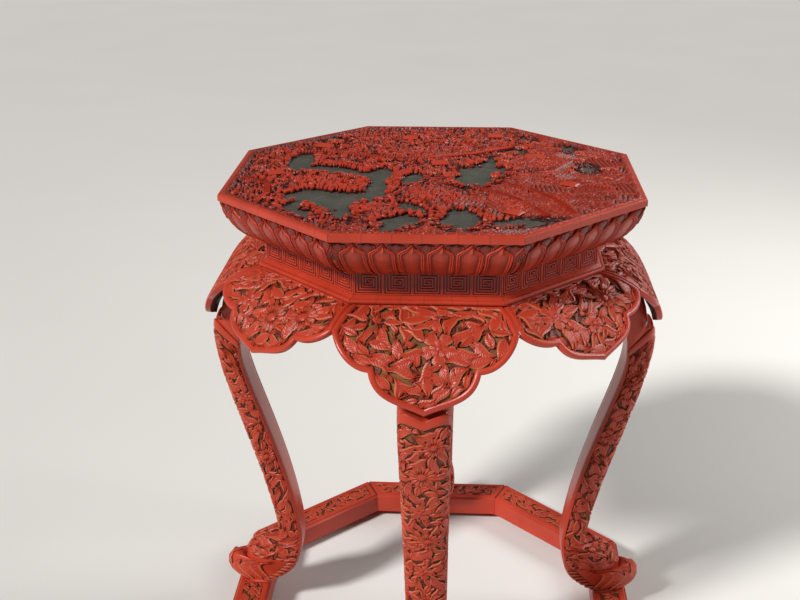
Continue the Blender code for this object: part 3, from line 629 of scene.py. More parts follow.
def draw_sprays(bm, outline, flowers, leaf_length, stem_width, relief, seed):
    """Flowers, leaves and the bowed stems between them, filling an outline."""
    laid, stems = lay_leaves(outline, flowers, leaf_length, seed)
    draw_motifs(bm, laid, relief)
    for start, stop, sway in stems:
        line = []
        for t in np.linspace(0, 1, 7):
            bow = sway * math.sin(math.pi * t)
            line.append((
                start[0] + (stop[0] - start[0]) * t - (stop[1] - start[1]) * bow,
                start[1] + (stop[1] - start[1]) * t + (stop[0] - start[0]) * bow,
            ))
        draw_band(bm, line, stem_width, relief, profile=STEM, centred=True, plain=0.0)


def surface_object(name, places, flats, outwards):
    """A grid to wrap carving on: where each point is, its place on the flat drawing and the way out."""
    rows, columns = places.shape[:2]
    faces = [
        (i * columns + j, i * columns + j + 1, (i + 1) * columns + j + 1, (i + 1) * columns + j)
        for i in range(rows - 1)
        for j in range(columns - 1)
    ]
    mesh = bpy.data.meshes.new(name)
    mesh.from_pydata(places.reshape(-1, 3).tolist(), [], faces)
    for label, values in (("flat", flats), ("outward", outwards)):
        layer = mesh.attributes.new(label, "FLOAT_VECTOR", "POINT")
        layer.data.foreach_set("vector", np.ascontiguousarray(values, np.float32).reshape(-1))
    return template(name, mesh)


def grid_surface(name, spots_a, spots_b, place, outward):
    """A surface for carving from two runs of flat coordinates and the functions that lift them into place."""
    flats = np.array([[(a, b, 0.0) for a in spots_a(b)] for b in spots_b])
    places = np.array([[place(a, b) for a, b, _ in row] for row in flats])
    outwards = np.array([[outward(a, b) for a, b, _ in row] for row in flats])
    return surface_object(name, places, flats, outwards)


def mitred(distance, share):
    return share * distance * MITRE


ring_top_surface = grid_surface(
    "ring_top",
    lambda b: [mitred(-b, share) for share in np.linspace(-1, 1, 9)],
    np.linspace(-RING_OUT + SKIN, -RING_IN - SKIN, 5),
    lambda a, b: (a, b, RING_TOP - SKIN),
    lambda a, b: (0.0, 0.0, 1.0),
)
ring_face_surface = grid_surface(
    "ring_face",
    lambda b: [mitred(RING_OUT, share) for share in np.linspace(-1, 1, 9)],
    np.linspace(RING_BOTTOM, RING_TOP, 5),
    lambda a, b: (a, -RING_OUT + SKIN, b),
    lambda a, b: (a / RING_OUT, -1.0, 0.0),
)

top_low, top_high = -RING_OUT + RING_EDGE, -RING_IN - RING_EDGE
low_half, high_half = mitred(-top_low, RING_END_SHARE), mitred(-top_high, RING_END_SHARE)
top_outline = [(-high_half, top_high), (-low_half, top_low), (low_half, top_low), (high_half, top_high)]
face_low, face_high = RING_BOTTOM + RING_FOOT, RING_TOP - RING_EDGE
face_half = mitred(RING_OUT, RING_END_SHARE)
face_outline = [
    (-face_half, face_high), (-face_half, face_low), (face_half, face_low), (face_half, face_high),
]

leaf_carving = carving_tree(leaves)
for side, name in enumerate(SIDE_NAMES):
    for face, surface, outline, band, seed in (
        ("top", ring_top_surface, top_outline, RING_BAND, 40),
        ("face", ring_face_surface, face_outline, RING_FACE_BAND, 60),
    ):
        bm = new_drawing()
        draw_band(bm, outline, band, RING_RELIEF, closed=True)
        field = beside(outline, band, True)
        draw_sprays(bm, field, [], RING_LEAF, RING_STEM, RING_RELIEF, seed + side)
        settle(carve(f"base_{face}_carving_{name}", bm, surface, RING_RELIEF, leaf_carving), side)


# Aprons
# Eight bombe boards, mitred at the corners, with a lobed lower edge. A plain bead follows the edge and the
# seams. Inside it the field is cut down to the ochre coat between blossoms, chrysanthemums and sprays, with
# lower leaves in the gaps under them.

APRON_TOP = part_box("apron_front")[1].z
APRON_CENTRE = 0.160
APRON_REACH = -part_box("apron_front")[0].y - APRON_CENTRE
APRON_FALL = 0.077
APRON_THICKNESS = 0.0115
APRON_RELIEF = 0.0030
APRON_BAND = 0.0060
APRON_LEAF = 0.0230
APRON_STEM = 0.0016
UNDER_LEAF = 0.0150
UNDER_SHARE = 0.40
APRON_EDGE = 0.0058
APRON_EDGE_TAPER = 0.022
SEAM_SHARE = 0.999
LAPPET_CUSP_DROP = 0.0115
LAPPET_NOTCH_HALF_WIDTH = 0.049
LAPPET_DROPS = {"leg": (0.040, 0.0767), "side": (0.026, 0.051)}
LOBE_PULLS = ((0.12, 0.47), (0.52, 0.96))
OGEE_PULLS = ((0.11, 0.69), (0.60, 0.72))
BOARD_PITCH = 0.004
BOARD_MARGIN = 0.002
BOARD_HALF = 0.09
BOARD_FALL = 0.11
BEAD = (
    (0.0, CUT_END), (0.0, 0.62), (0.12, 0.86), (0.30, 1.04), (0.5, 1.10), (0.70, 1.04), (0.88, 0.86),
    (1.0, 0.62), (1.0, CUT_END),
)

# Ochre under-coat at the bottom of the cuts: dull, dusty, with a fine diaper
ochre_ground, tree, shader, place = new_material("ochre_lacquer_cut_ground")
links = {"Vector": place, "Scale": 1 / 0.0016, "Randomness": 0.2}
diaper = node(tree, VORONOI, links, "Distance", feature="F1")
connect(tree, shader, {
    "Base Color": clouded(tree, place, 0.012, 5.0, "#3a2014", "#a0693c")[0],
    "Roughness": 0.62,
    "Normal": node(tree, BUMP, {"Height": diaper, "Strength": 0.4, "Distance": 0.0005}),
    "Specular IOR Level": 0.2,
})

# Black lacquer on the hidden faces: thin, brushed, slightly brown where it is rubbed
black_lacquer, tree, shader, place = new_material("black_lacquer_brushed")
tone, rub = clouded(tree, place, 0.03, 5.0, "#0d0b0b", "#2a201c")
connect(tree, shader, {
    "Base Color": tone,
    "Roughness": 0.45,
    "Normal": node(tree, BUMP, {"Height": rub, "Strength": 0.2, "Distance": 0.001}),
})

# Flowers are modelled once each, like the leaf, with narrow three-point petals
RAY_SECTION = ((-1.0, 0.70), (0.0, 1.0), (1.0, 0.70))


def dome(bm, radius, height, base):
    """The button at the middle of a flower."""
    vein = bm.verts.layers.float_vector.get("vein")
    for vert in bmesh.ops.create_uvsphere(bm, u_segments=8, v_segments=4, radius=1.0)["verts"]:
        vert.co = (vert.co.x * radius, vert.co.y * radius, base + vert.co.z * height)
        vert[vein] = (0.5, 0.5, 0.0)


blossom = bmesh.new()
for k in range(5):
    blade(blossom, 0.78, 1.7, 4, turn=k * math.tau / 5, start=0.10, reach=0.90, rise=0.92)
for k in range(5):
    turn = (k + 0.5) * math.tau / 5
    blade(blossom, 0.42, 1.6, 3, turn=turn, start=0.05, reach=0.48, rise=1.12, section=RAY_SECTION)
dome(blossom, 0.16, 0.35, 0.95)
chrysanthemum = bmesh.new()
for k in range(15):
    blade(chrysanthemum, 0.29, 1.9, 4, turn=k * math.tau / 15, start=0.22, reach=0.78, section=RAY_SECTION)
dome(chrysanthemum, 0.32, 0.36, 0.75)
bud = bmesh.new()
for k in (-1, 0, 1):
    rise = 0.9 + 0.15 * (k == 0)
    blade(bud, 0.44, 1.2, 4, turn=0.42 * k, reach=1.0 - 0.12 * abs(k), rise=rise, section=RAY_SECTION)
flowers = [
    template(name, mesh_from(name, bm))
    for name, bm in (("blossom", blossom), ("chrysanthemum", chrysanthemum), ("bud", bud))
]
BLOSSOM, CHRYSANTHEMUM, BUD = 4, 5, 6


def walk(points):
    """Finds the spot at a length along a profile of (distance, height), at a depth, and the way out."""
    points = np.asarray(points, float)
    lengths = np.concatenate([[0.0], np.cumsum(np.linalg.norm(np.diff(points, axis=0), axis=1))])
    slopes = np.gradient(points, axis=0)
    normals = np.stack([-slopes[:, 1], slopes[:, 0]], 1)
    normals /= np.linalg.norm(normals, axis=1, keepdims=True)

    def at(length, depth=0.0):
        spot = np.array([np.interp(length, lengths, points[:, i]) for i in (0, 1)])
        normal = np.array([np.interp(length, lengths, normals[:, i]) for i in (0, 1)])
        return spot - depth * normal, normal

    return at, lengths


def quarter(centre, radii, start, stop, steps=180):
    """Points on an ellipse between two angles in degrees."""
    angles = np.radians(np.linspace(start, stop, steps + 1))
    return np.stack([centre[0] + radii[0] * np.cos(angles), centre[1] + radii[1] * np.sin(angles)], 1)


def bezier(points, steps):
    t = np.linspace(0, 1, steps + 1)[:, None]
    p = np.asarray(points, float)
    return (1 - t) ** 3 * p[0] + 3 * t * (1 - t) ** 2 * p[1] + 3 * t * t * (1 - t) * p[2] + t ** 3 * p[3]


def side_spot(at, a, b, depth):
    """Where a spot of the flat drawing lies on a mitred side with this profile, at a depth in its face."""
    face = at(-b)[0]
    spot = at(-b, depth)[0]
    return (a * spot[0] / face[0], -spot[0], spot[1])


def side_surface(name, at, length, ground):
    """The carving surface of a mitred side with this profile, at a ground depth inside its face."""

    def outward(a, b):
        face, normal = at(-b)
        return (a / face[0] * normal[0], -normal[0], normal[1])

    return grid_surface(
        name,
        lambda b: [mitred(at(-b)[0][0], share) for share in np.linspace(-1, 1, 33)],
        -np.linspace(0.0, length, 41),
        lambda a, b: side_spot(at, a, b, ground),
        outward,
    )


apron_profile = quarter((APRON_CENTRE, APRON_TOP - APRON_FALL), (APRON_REACH, APRON_FALL), 90, 0)
apron_face, apron_lengths = walk(apron_profile)
apron_surface = side_surface("apron_ground", apron_face, apron_lengths[-1], APRON_RELIEF)


def apron_length(drop):
    """How far down the bombe face, along it, a drop below the apron's top lies."""
    return float(np.interp(drop, APRON_TOP - apron_profile[:, 1], apron_lengths))


def lappet_half(notch_drop, tip_drop):
    """The right half of the lobed edge, from the cusp at the seam to the tip, as (along, drop)."""
    cusp_distance = apron_face(apron_length(LAPPET_CUSP_DROP))[0][0]
    cusp = np.array((mitred(cusp_distance, SEAM_SHARE), LAPPET_CUSP_DROP))
    notch = np.array((LAPPET_NOTCH_HALF_WIDTH, notch_drop))
    tip = np.array((0.0, tip_drop))
    lobe, ogee = notch - cusp, tip - notch
    outer = bezier([cusp, *(cusp + pull * lobe for pull in LOBE_PULLS), notch], 16)
    inner = bezier([notch, *(notch + pull * ogee for pull in OGEE_PULLS), tip], 18)
    return np.concatenate([outer[:-1], inner])


def apron_outline(kind):
    """The whole outline on the flat, anticlockwise from the top left: seam, lobes, seam, top edge."""
    half = lappet_half(*LAPPET_DROPS[kind])
    right = [(along, -apron_length(drop)) for along, drop in half]
    left = [(-a, b) for a, b in right]
    seam = []
    for length in np.linspace(0.0, apron_length(LAPPET_CUSP_DROP), 9)[:-1]:
        seam.append((mitred(apron_face(length)[0][0], SEAM_SHARE), -length))
    seam_left = [(-a, b) for a, b in seam]
    top = [(a, 0.0) for a in np.linspace(seam[0][0], -seam[0][0], 12)[1:-1]]
    return np.array(seam_left + left + right[-2::-1] + seam[::-1] + top)


def apron_board(name, outline):
    """The board itself: the cut ground in front, the lobed edge, and the black back."""
    along = np.arange(-BOARD_HALF, BOARD_HALF, BOARD_PITCH)
    inner = np.stack(np.meshgrid(along, np.arange(-BOARD_FALL, 0.0, BOARD_PITCH)), -1).reshape(-1, 2)
    kept = inner[within(inner, beside(outline, BOARD_MARGIN, True))]
    count = len(outline)
    loop = [(i, (i + 1) % count) for i in range(count)]
    spots = [Vector(p) for p in outline] + [Vector(p) for p in kept]
    flat, _, faces, *_ = delaunay_2d_cdt(spots, loop, [], 1, 1e-6)
    lobes = outline[outline[:, 1] < -apron_length(LAPPET_CUSP_DROP)]
    front, back = [], []
    for a, b in flat:
        from_edge = np.hypot(lobes[:, 0] - a, lobes[:, 1] - b).min()
        depth = np.interp(from_edge, (0.0, APRON_EDGE_TAPER), (APRON_EDGE, APRON_THICKNESS))
        front.append(side_spot(apron_face, a, b, APRON_RELIEF))
        back.append(side_spot(apron_face, a, b, depth))
    total = len(flat)
    front_faces = [tuple(face) for face in faces]
    back_faces = [tuple(v + total for v in reversed(face)) for face in faces]
    walls = [(j, i, i + total, j + total) for i, j in loop]
    mesh = bpy.data.meshes.new(name)
    mesh.from_pydata(front + back, [], front_faces + back_faces + walls)
    for material in (ochre_ground, black_lacquer, plain_lacquer):
        mesh.materials.append(material)
    mesh.polygons.foreach_set("material_index", [0] * len(faces) + [1] * len(faces) + [2] * count)
    smooth(mesh, 40)
    return new_object(name, mesh)


APRON_FLOWERS = {
    "front": [(0.012, -0.056, 0.0165, BLOSSOM), (-0.044, -0.030, 0.009, BUD)],
    "front_left": [(0.006, -0.052, 0.0155, CHRYSANTHEMUM), (0.040, -0.040, 0.0155, CHRYSANTHEMUM),
                   (-0.036, -0.046, 0.0145, BLOSSOM), (-0.046, -0.020, 0.009, BLOSSOM)],
    "front_right": [(-0.034, -0.036, 0.0150, BLOSSOM), (0.036, -0.036, 0.0120, CHRYSANTHEMUM),
                    (0.004, -0.056, 0.0110, BLOSSOM)],
}
OTHER_FLOWERS = [(-0.030, -0.030, 0.0120, BLOSSOM), (0.034, -0.034, 0.0125, CHRYSANTHEMUM),
                 (0.000, -0.060, 0.0110, BLOSSOM)]

flower_carving = carving_tree(leaves + flowers)
for side, name in enumerate(SIDE_NAMES):
    outline = apron_outline("side" if side % 2 else "leg")
    board = settle(apron_board(f"apron_board_{name}", outline), side)
    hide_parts(f"apron_{name}")
    bm = new_drawing()
    draw_band(bm, outline, APRON_BAND, APRON_RELIEF, profile=BEAD, closed=True)
    field = beside(outline, 0.9 * APRON_BAND, True)
    here = APRON_FLOWERS.get(name, OTHER_FLOWERS)
    draw_sprays(bm, field, here, APRON_LEAF, APRON_STEM, APRON_RELIEF, seed=10 + side)
    under = lay_leaves(field, [], UNDER_LEAF, seed=110 + side)[0]
    every = 2 if name == "front" else 1
    draw_motifs(bm, under[::every], UNDER_SHARE * APRON_RELIEF)
    settle(carve(f"apron_carving_{name}", bm, apron_surface, APRON_RELIEF, flower_carving), side)


# Legs
# Four cabriole legs of solid wood, tenoned into the top and the base: a shoulder behind the lappet, a chevron
# step below it, a long S, and a foot that curls up round a ball. They are carved like the aprons, and their
# back edges are left plain.

LEG_RELIEF = 0.0024
FOOT_RELIEF = 0.0017
LEG_LEAF = 0.0165
LEG_STEM = 0.0015
LEG_STRIP = 0.0026
CHEVRON_WIDTH = 0.0082
CHEVRON_DROP = 0.0002
CHEVRON_SHARE = 0.99
CHEVRON_CLEAR = 0.0005
RAIL_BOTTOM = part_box("top_rail_front")[0].z
POST_IN = 0.1217
POST_OUT = 0.1497
POST_WIDTH = 0.040
KNEE_GAP = 0.00086
KNEE_WIDTH = 0.0495
KNEE_DEPTH = 0.029
KNEE_STEP = 0.008
KNEE_DROP = 0.007
KNEE_RISE = 0.013
ANKLE_WIDTH = 0.040
ANKLE_DEPTH = 0.027
FOOT_SEAT = (RING_OUT + RING_IN) / 2
ANKLE_SET_IN = 0.0288
CURVE_TOP = 0.038
CURVE_BOTTOM = 0.081
BALL_REACH = 0.0398
BALL_HEIGHT = 0.0303
BALL_WIDTH = 0.048
FOLD_HEIGHT = 0.029
CURL_RISE = 0.005
CURL_REACH = 0.0205
CURL_WIDTH = 0.034
SOLE_LENGTH = 0.030
SOLE_OUTER_SHARE = 0.46
PLINTH_HEIGHT = 0.0032
PLINTH_STEP = 0.002
PLINTH_ROWS = ((0.97, 1.0), (0.62, 1.0), (0.56, 0.2), (0.46, 0.2), (0.40, 1.0), (0.10, 1.0))
SHOULDER_STEPS = 12
SHANK_STEPS = 40
BALL_STEPS = 20
FOLD_STEPS = 6
BROW_STEPS = 8
UNDER_STEPS = 14

shoulder_out = np.array((APRON_CENTRE + APRON_REACH - APRON_THICKNESS - KNEE_GAP, APRON_TOP - APRON_FALL))
shoulder_in = shoulder_out + (KNEE_STEP - KNEE_DEPTH, -0.65 * KNEE_DEPTH)
knee_in = shoulder_in - (0, KNEE_DROP)
knee_out = shoulder_out + (KNEE_STEP, -KNEE_DROP)
ankle_out = np.array((FOOT_SEAT - ANKLE_SET_IN, RING_TOP + FOLD_HEIGHT + BALL_HEIGHT))
ankle_in = ankle_out + (-ANKLE_DEPTH, 0.2 * ANKLE_DEPTH)
fold = ankle_out + (BALL_REACH, -BALL_HEIGHT)
crest = fold + (0.5 * CURL_REACH, CURL_RISE)
brow = np.array((fold[0] + CURL_REACH, RING_TOP + 0.72 * FOLD_HEIGHT))
sole = np.array((FOOT_SEAT + SOLE_OUTER_SHARE * SOLE_LENGTH, RING_TOP + PLINTH_HEIGHT))
heel = sole - (SOLE_LENGTH, 0)


def leg_rows():
    """The leg's sections from the top down: (inner point, outer point, width, roundness, rise of sides)."""
    rows = []
    shoulder_top = APRON_TOP - APRON_THICKNESS - KNEE_GAP
    for z in (RAIL_BOTTOM, shoulder_top):
        rows.append(((POST_IN, z), (POST_OUT, z), POST_WIDTH, 0.0, 0.0))
    start = np.array((POST_IN, shoulder_top - (POST_OUT - POST_IN) / 2))
    fall = start[1] - shoulder_in[1]
    pulls = (start - (0, 0.3 * fall), shoulder_in + (0, 0.65 * fall))
    inner = bezier([start, *pulls, shoulder_in], SHOULDER_STEPS)
    depth = APRON_THICKNESS + KNEE_GAP
    reach = (APRON_REACH - depth, APRON_FALL - depth)
    outer = quarter((APRON_CENTRE, APRON_TOP - APRON_FALL), reach, 90, 0, SHOULDER_STEPS)
    for i in range(SHOULDER_STEPS + 1):
        width = POST_WIDTH + (KNEE_WIDTH - POST_WIDTH) * i / SHOULDER_STEPS
        rows.append((inner[i], outer[i], width, 0.0, KNEE_RISE if i == SHOULDER_STEPS else 0.0))
    for out in (knee_out - (KNEE_STEP, 0), knee_out):
        rows.append((knee_in, out, KNEE_WIDTH, 0.0, KNEE_RISE))
    pulls = (knee_out + (0.30 * CURVE_TOP, -CURVE_TOP), ankle_out + (0.07 * CURVE_BOTTOM, CURVE_BOTTOM))
    outer = bezier([knee_out, *pulls, ankle_out], SHANK_STEPS)
    pulls = (
        knee_in + (0.24 * CURVE_TOP, -0.8 * CURVE_TOP),
        ankle_in + (0.17 * CURVE_BOTTOM, 1.4 * CURVE_BOTTOM),
    )
    inner = bezier([knee_in, *pulls, ankle_in], SHANK_STEPS)
    for i in range(1, SHANK_STEPS + 1):
        width = KNEE_WIDTH + (ANKLE_WIDTH - KNEE_WIDTH) * i / SHANK_STEPS
        rows.append((inner[i], outer[i], width, 0.0, KNEE_RISE * max(0.0, 1 - 3 * i / SHANK_STEPS)))
    under_fall = brow[1] - sole[1]
    over_brow = crest + (0.6 * (brow[0] - crest[0]), 0)
    under_brow = (brow[0], (brow[1] + sole[1]) / 2)
    line = np.concatenate([
        quarter((ankle_out[0], fold[1]), (BALL_REACH, BALL_HEIGHT), 90, 0, BALL_STEPS)[1:],
        bezier([fold, (fold[0] + 0.001, crest[1]), (crest[0] - 0.004, crest[1]), crest], FOLD_STEPS)[1:],
        bezier([crest, over_brow, (brow[0], (crest[1] + brow[1]) / 2), brow], BROW_STEPS)[1:],
        bezier([brow, under_brow, sole + (0.55 * under_fall, 0), sole], UNDER_STEPS)[1:],
    ])
    drop = ankle_in[1] - heel[1]
    pulls = (ankle_in - (0, 0.55 * drop), heel + (-0.74 * (heel[0] - ankle_in[0]), 0.08 * drop))
    back = bezier([ankle_in, *pulls, heel], len(line))[1:]
    for i, t in enumerate(np.linspace(0, 1, len(line) + 1)[1:]):
        swell = (BALL_WIDTH - ANKLE_WIDTH) * math.sin(math.pi * min(t / 0.7, 1.0))
        width = ANKLE_WIDTH + (CURL_WIDTH - ANKLE_WIDTH) * min(t / 0.75, 1.0) + swell
        rows.append((back[i], line[i], width, min(1.0, 3 * t), 0.0))
    for height, share in PLINTH_ROWS:
        z = RING_TOP + height * PLINTH_HEIGHT
        step = share * PLINTH_STEP
        rows.append(((heel[0] - step, z), (sole[0] + step, z), CURL_WIDTH + 2 * step, 0.5, 0.0))
    return rows


def leg_section(roundness):
    """A section's outline as (share of depth, share of half width), its corners cut round twice over."""
    half = [
        (0.0, 0.86),
        (0.06, 1.0),
        (0.55 - 0.2 * roundness, 1.0),
        (0.80 - 0.12 * roundness, 0.92 - 0.05 * roundness),
        (0.94 - 0.04 * roundness, 0.68 - 0.1 * roundness),
        (1.0, 0.28 - 0.08 * roundness),
    ]
    ring = np.array(half + [(1.0, 0.0)] + [(d, -w) for d, w in reversed(half)])
    for _ in range(2):
        after = np.roll(ring, -1, 0)
        ring = np.stack([0.75 * ring + 0.25 * after, 0.25 * ring + 0.75 * after], 1).reshape(-1, 2)
    return ring


loft = []
for inner, outer, width, roundness, rise in leg_rows():
    ring = leg_section(roundness)
    spots = np.asarray(inner) + (np.asarray(outer) - np.asarray(inner)) * ring[:, :1]
    heights = spots[:, 1] + rise * np.abs(ring[:, 1]) * ring[:, 0]
    loft.append(np.stack([ring[:, 1] * width / 2, -spots[:, 0], heights], 1))
loft = np.array(loft)
KNEE_ROW = SHOULDER_STEPS + 4
ANKLE_ROW = KNEE_ROW + SHANK_STEPS
FOLD_ROW = ANKLE_ROW + BALL_STEPS
CREST_ROW = FOLD_ROW + FOLD_STEPS
SOLE_ROW = CREST_ROW + BROW_STEPS + UNDER_STEPS
CARVED_ROWS = slice(KNEE_ROW, SOLE_ROW + 1)
STRIP_ROWS = slice(0, ANKLE_ROW + 6 - KNEE_ROW)
HEEL_ROWS = range(ANKLE_ROW + 12, SOLE_ROW - 2, 4)
carved_columns = np.where(leg_section(0.0)[:, 0] > 0.02)[0][::-1]
front_column = len(carved_columns) // 2

around = np.roll(loft, -1, 1) - np.roll(loft, 1, 1)
down = np.concatenate([np.gradient(loft[:KNEE_ROW], axis=0), np.gradient(loft[KNEE_ROW:], axis=0)])
leg_out = np.cross(around, down)
leg_out /= np.linalg.norm(leg_out, axis=2, keepdims=True) + 1e-12

front_line = loft[:, carved_columns][:, front_column - 1:front_column + 1].mean(1)
leg_length = np.concatenate([[0.0], np.cumsum(np.linalg.norm(np.diff(front_line, axis=0), axis=1))])
leg_length -= leg_length[KNEE_ROW]

row_cut = np.interp(np.arange(len(loft)), (ANKLE_ROW + 2, FOLD_ROW), (LEG_RELIEF, FOOT_RELIEF))
row_cut[:KNEE_ROW] = 0.0
row_cut[SOLE_ROW + 1:] = 0.0
cut_depth = np.zeros(loft.shape[:2])
cut_depth[:, carved_columns] = row_cut[:, None]
core_spots = loft - cut_depth[..., None] * leg_out

spans = np.linalg.norm(np.diff(loft[CARVED_ROWS][:, carved_columns], axis=1), axis=2)
across = np.concatenate([np.zeros((len(spans), 1)), np.cumsum(spans, 1)], 1)
across -= across[:, -1:] / 2
fallen = np.repeat(-leg_length[CARVED_ROWS, None], across.shape[1], 1)
leg_flat = np.stack([across, fallen, np.zeros_like(across)], 2)
leg_surface = surface_object(
    "leg_ground",
    core_spots[CARVED_ROWS][:, carved_columns],
    leg_flat,
    leg_out[CARVED_ROWS][:, carved_columns],
)


def leg_core(name):
    """The leg under its carving, with the ochre coat where it is cut."""
    bm = bmesh.new()
    loops = [[bm.verts.new(spot) for spot in row] for row in core_spots]
    count = len(loops[0])
    hidden = set(range(count)) - set(carved_columns.tolist())
    for number, (upper, lower) in enumerate(zip(loops, loops[1:])):
        for i in range(count):
            j = (i + 1) % count
            face = bm.faces.new((upper[i], upper[j], lower[j], lower[i]))
            cut = KNEE_ROW <= number < ANKLE_ROW + 4 and i not in hidden and j not in hidden
            face.material_index = 1 if cut else 0
    bm.faces.new(loops[0])
    bm.faces.new(loops[-1])
    bmesh.ops.recalc_face_normals(bm, faces=bm.faces)
    mesh = mesh_from(name, bm)
    mesh.materials.append(plain_lacquer)
    mesh.materials.append(ochre_ground)
    smooth(mesh, 50)
    return new_object(name, mesh)


LEG_FLOWERS = [
    (0.009, -0.028, 0.0105, CHRYSANTHEMUM),
    (-0.002, -0.060, 0.0135, CHRYSANTHEMUM),
    (-0.004, -0.106, 0.0115, BLOSSOM),
    (0.003, -0.146, 0.0115, CHRYSANTHEMUM),
    (-0.002, -0.190, 0.0105, BLOSSOM),
    (0.002, -0.232, 0.0100, CHRYSANTHEMUM),
    (-0.033, -0.048, 0.0100, CHRYSANTHEMUM),
    (0.033, -0.085, 0.0100, BLOSSOM),
    (-0.032, -0.128, 0.0100, BLOSSOM),
    (0.031, -0.165, 0.0100, CHRYSANTHEMUM),
]
left_line = leg_flat[:, 0, :2]
right_line = leg_flat[:, -1, :2]
chevron_ends = (CHEVRON_SHARE * right_line[0, 0], CHEVRON_SHARE * left_line[0, 0])
chevron_line = [(a, -CHEVRON_DROP) for a in np.linspace(*chevron_ends, 41)]
field_rows = [
    row for row in range(FOLD_ROW - 2 - KNEE_ROW) if left_line[row, 1] < -CHEVRON_WIDTH - CHEVRON_CLEAR
]
leg_field = np.array(
    [(left_line[row, 0] + LEG_STRIP, left_line[row, 1]) for row in field_rows]
    + [(right_line[row, 0] - LEG_STRIP, right_line[row, 1]) for row in reversed(field_rows)]
)

# Petals up the side of the foot: (rows above the sole, share of depth) to (rows below the crest, share)
FOOT_LOBES = (
    ((3, 0.72), (8, 0.97)), ((3, 0.52), (4, 0.84)), ((4, 0.34), (1, 0.66)), ((5, 0.18), (-3, 0.46)),
)
HEEL_LEAF = 0.011
HEEL_INSET = 0.012
CURL_OVERLAP = 0.004
FOOT_LEAF_SHARE = 0.95


def foot_leaves():
    """Leaves round the curled foot: one up the curl, petals up from the sole, and ridges at the heel."""
    curl_length = leg_length[SOLE_ROW] - leg_length[CREST_ROW] + CURL_OVERLAP
    laid = [(0.0, -leg_length[SOLE_ROW], math.pi / 2, curl_length, LEAVES[1])]
    depths = leg_section(1.0)[carved_columns, 0]
    for side in (-1, 1):
        half = range(front_column, len(depths)) if side > 0 else range(front_column)
        for (low_row, low_depth), (high_row, high_depth) in FOOT_LOBES:
            ends = []
            for row, depth in ((SOLE_ROW - low_row, low_depth), (CREST_ROW + high_row, high_depth)):
                column = min(half, key=lambda c: abs(depths[c] - depth))
                ends.append(leg_flat[row - KNEE_ROW, column, :2])
            (a, b), (tip_a, tip_b) = ends
            length = math.hypot(tip_a - a, tip_b - b)
            laid.append((a, b, math.atan2(tip_b - b, tip_a - a), length, LEAVES[1 + side]))
        for row in HEEL_ROWS:
            a = side * (right_line[row - KNEE_ROW, 0] - HEEL_INSET)
            laid.append((a, -leg_length[row], 0.0 if side > 0 else math.pi, HEEL_LEAF, LEAVES[1]))
    return laid


for number, name in enumerate(("front", "right", "back", "left")):
    core = settle(leg_core(f"leg_core_{name}"), 2 * number)
    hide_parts(f"leg_{name}")
    bm = new_drawing()
    draw_band(bm, left_line[STRIP_ROWS], LEG_STRIP, LEG_RELIEF)
    draw_band(bm, right_line[STRIP_ROWS][::-1], LEG_STRIP, LEG_RELIEF)
    draw_band(bm, chevron_line, CHEVRON_WIDTH, LEG_RELIEF)
    draw_sprays(bm, leg_field, LEG_FLOWERS, LEG_LEAF, LEG_STEM, LEG_RELIEF, seed=80 + number)
    draw_motifs(bm, lay_leaves(leg_field, [], UNDER_LEAF, seed=120 + number)[0], UNDER_SHARE * LEG_RELIEF)
    draw_motifs(bm, foot_leaves(), FOOT_LEAF_SHARE * LEG_RELIEF)
    settle(carve(f"leg_carving_{name}", bm, leg_surface, LEG_RELIEF, flower_carving), 2 * number)


# Waist
# A mitred upright band under the top, carved with a key fret of squared spirals between nested brackets, and
# the bead moulding that it stands on. Both are black inside.

WAIST_OUT = -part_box("waist_board_front")[0].y
WAIST_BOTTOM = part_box("waist_moulding_front")[1].z
FRET_UNITS = 5
FRET_PITCH = 0.00245
FRET_LINE = 0.0012
FRET_RELIEF = 0.0012
FRET_WRAPS = (4.1, 5.1)
FRET_TOP = RAIL_BOTTOM - 0.001
FRET_BOTTOM = WAIST_BOTTOM + 0.0008
BLACK = "#141010"

framed_lacquer = rubbed_cinnabar("cinnabar_lacquer_black_inside", cracked=True, inside=BLACK)
# The waist board's faces turned up or out are a dark maroon, much darker than the rails' red
sunk_lacquer = rubbed_cinnabar("cinnabar_lacquer_sunk_ground", inside=BLACK, outside="#5a140c")
for name in SIDE_NAMES:
    nodes[f"waist_board_{name}"].material_slots[0].material = sunk_lacquer
    nodes[f"waist_moulding_{name}"].material_slots[0].material = framed_lacquer

spiral = [(0.0, 0.0)]
for turn, (da, db) in enumerate([(1, 0), (0, -1), (-1, 0), (0, 1)] * 3):
    run = FRET_PITCH * (1 + turn // 2)
    spiral.append((spiral[-1][0] + da * run, spiral[-1][1] + db * run))
middle = (WAIST_BOTTOM + RAIL_BOTTOM) / 2
centre = np.mean([np.min(spiral, 0), np.max(spiral, 0)], 0)
lines = [[(a - centre[0], b - centre[1] + middle + 0.5 * FRET_PITCH) for a, b in spiral]]
for wrap in FRET_WRAPS:
    half = wrap * FRET_PITCH
    bottom = max(middle + 0.5 * FRET_PITCH - half, FRET_BOTTOM)
    lines.append([(-half, FRET_TOP), (-half, bottom), (half, bottom), (half, FRET_TOP)])
bm = new_drawing()
for line in lines:
    draw_band(bm, line, FRET_LINE, FRET_RELIEF, centred=True, plain=0.0)
for vert in bm.verts:
    a, b, high = vert.co
    vert.co = (a, -WAIST_OUT + SKIN - high, b)


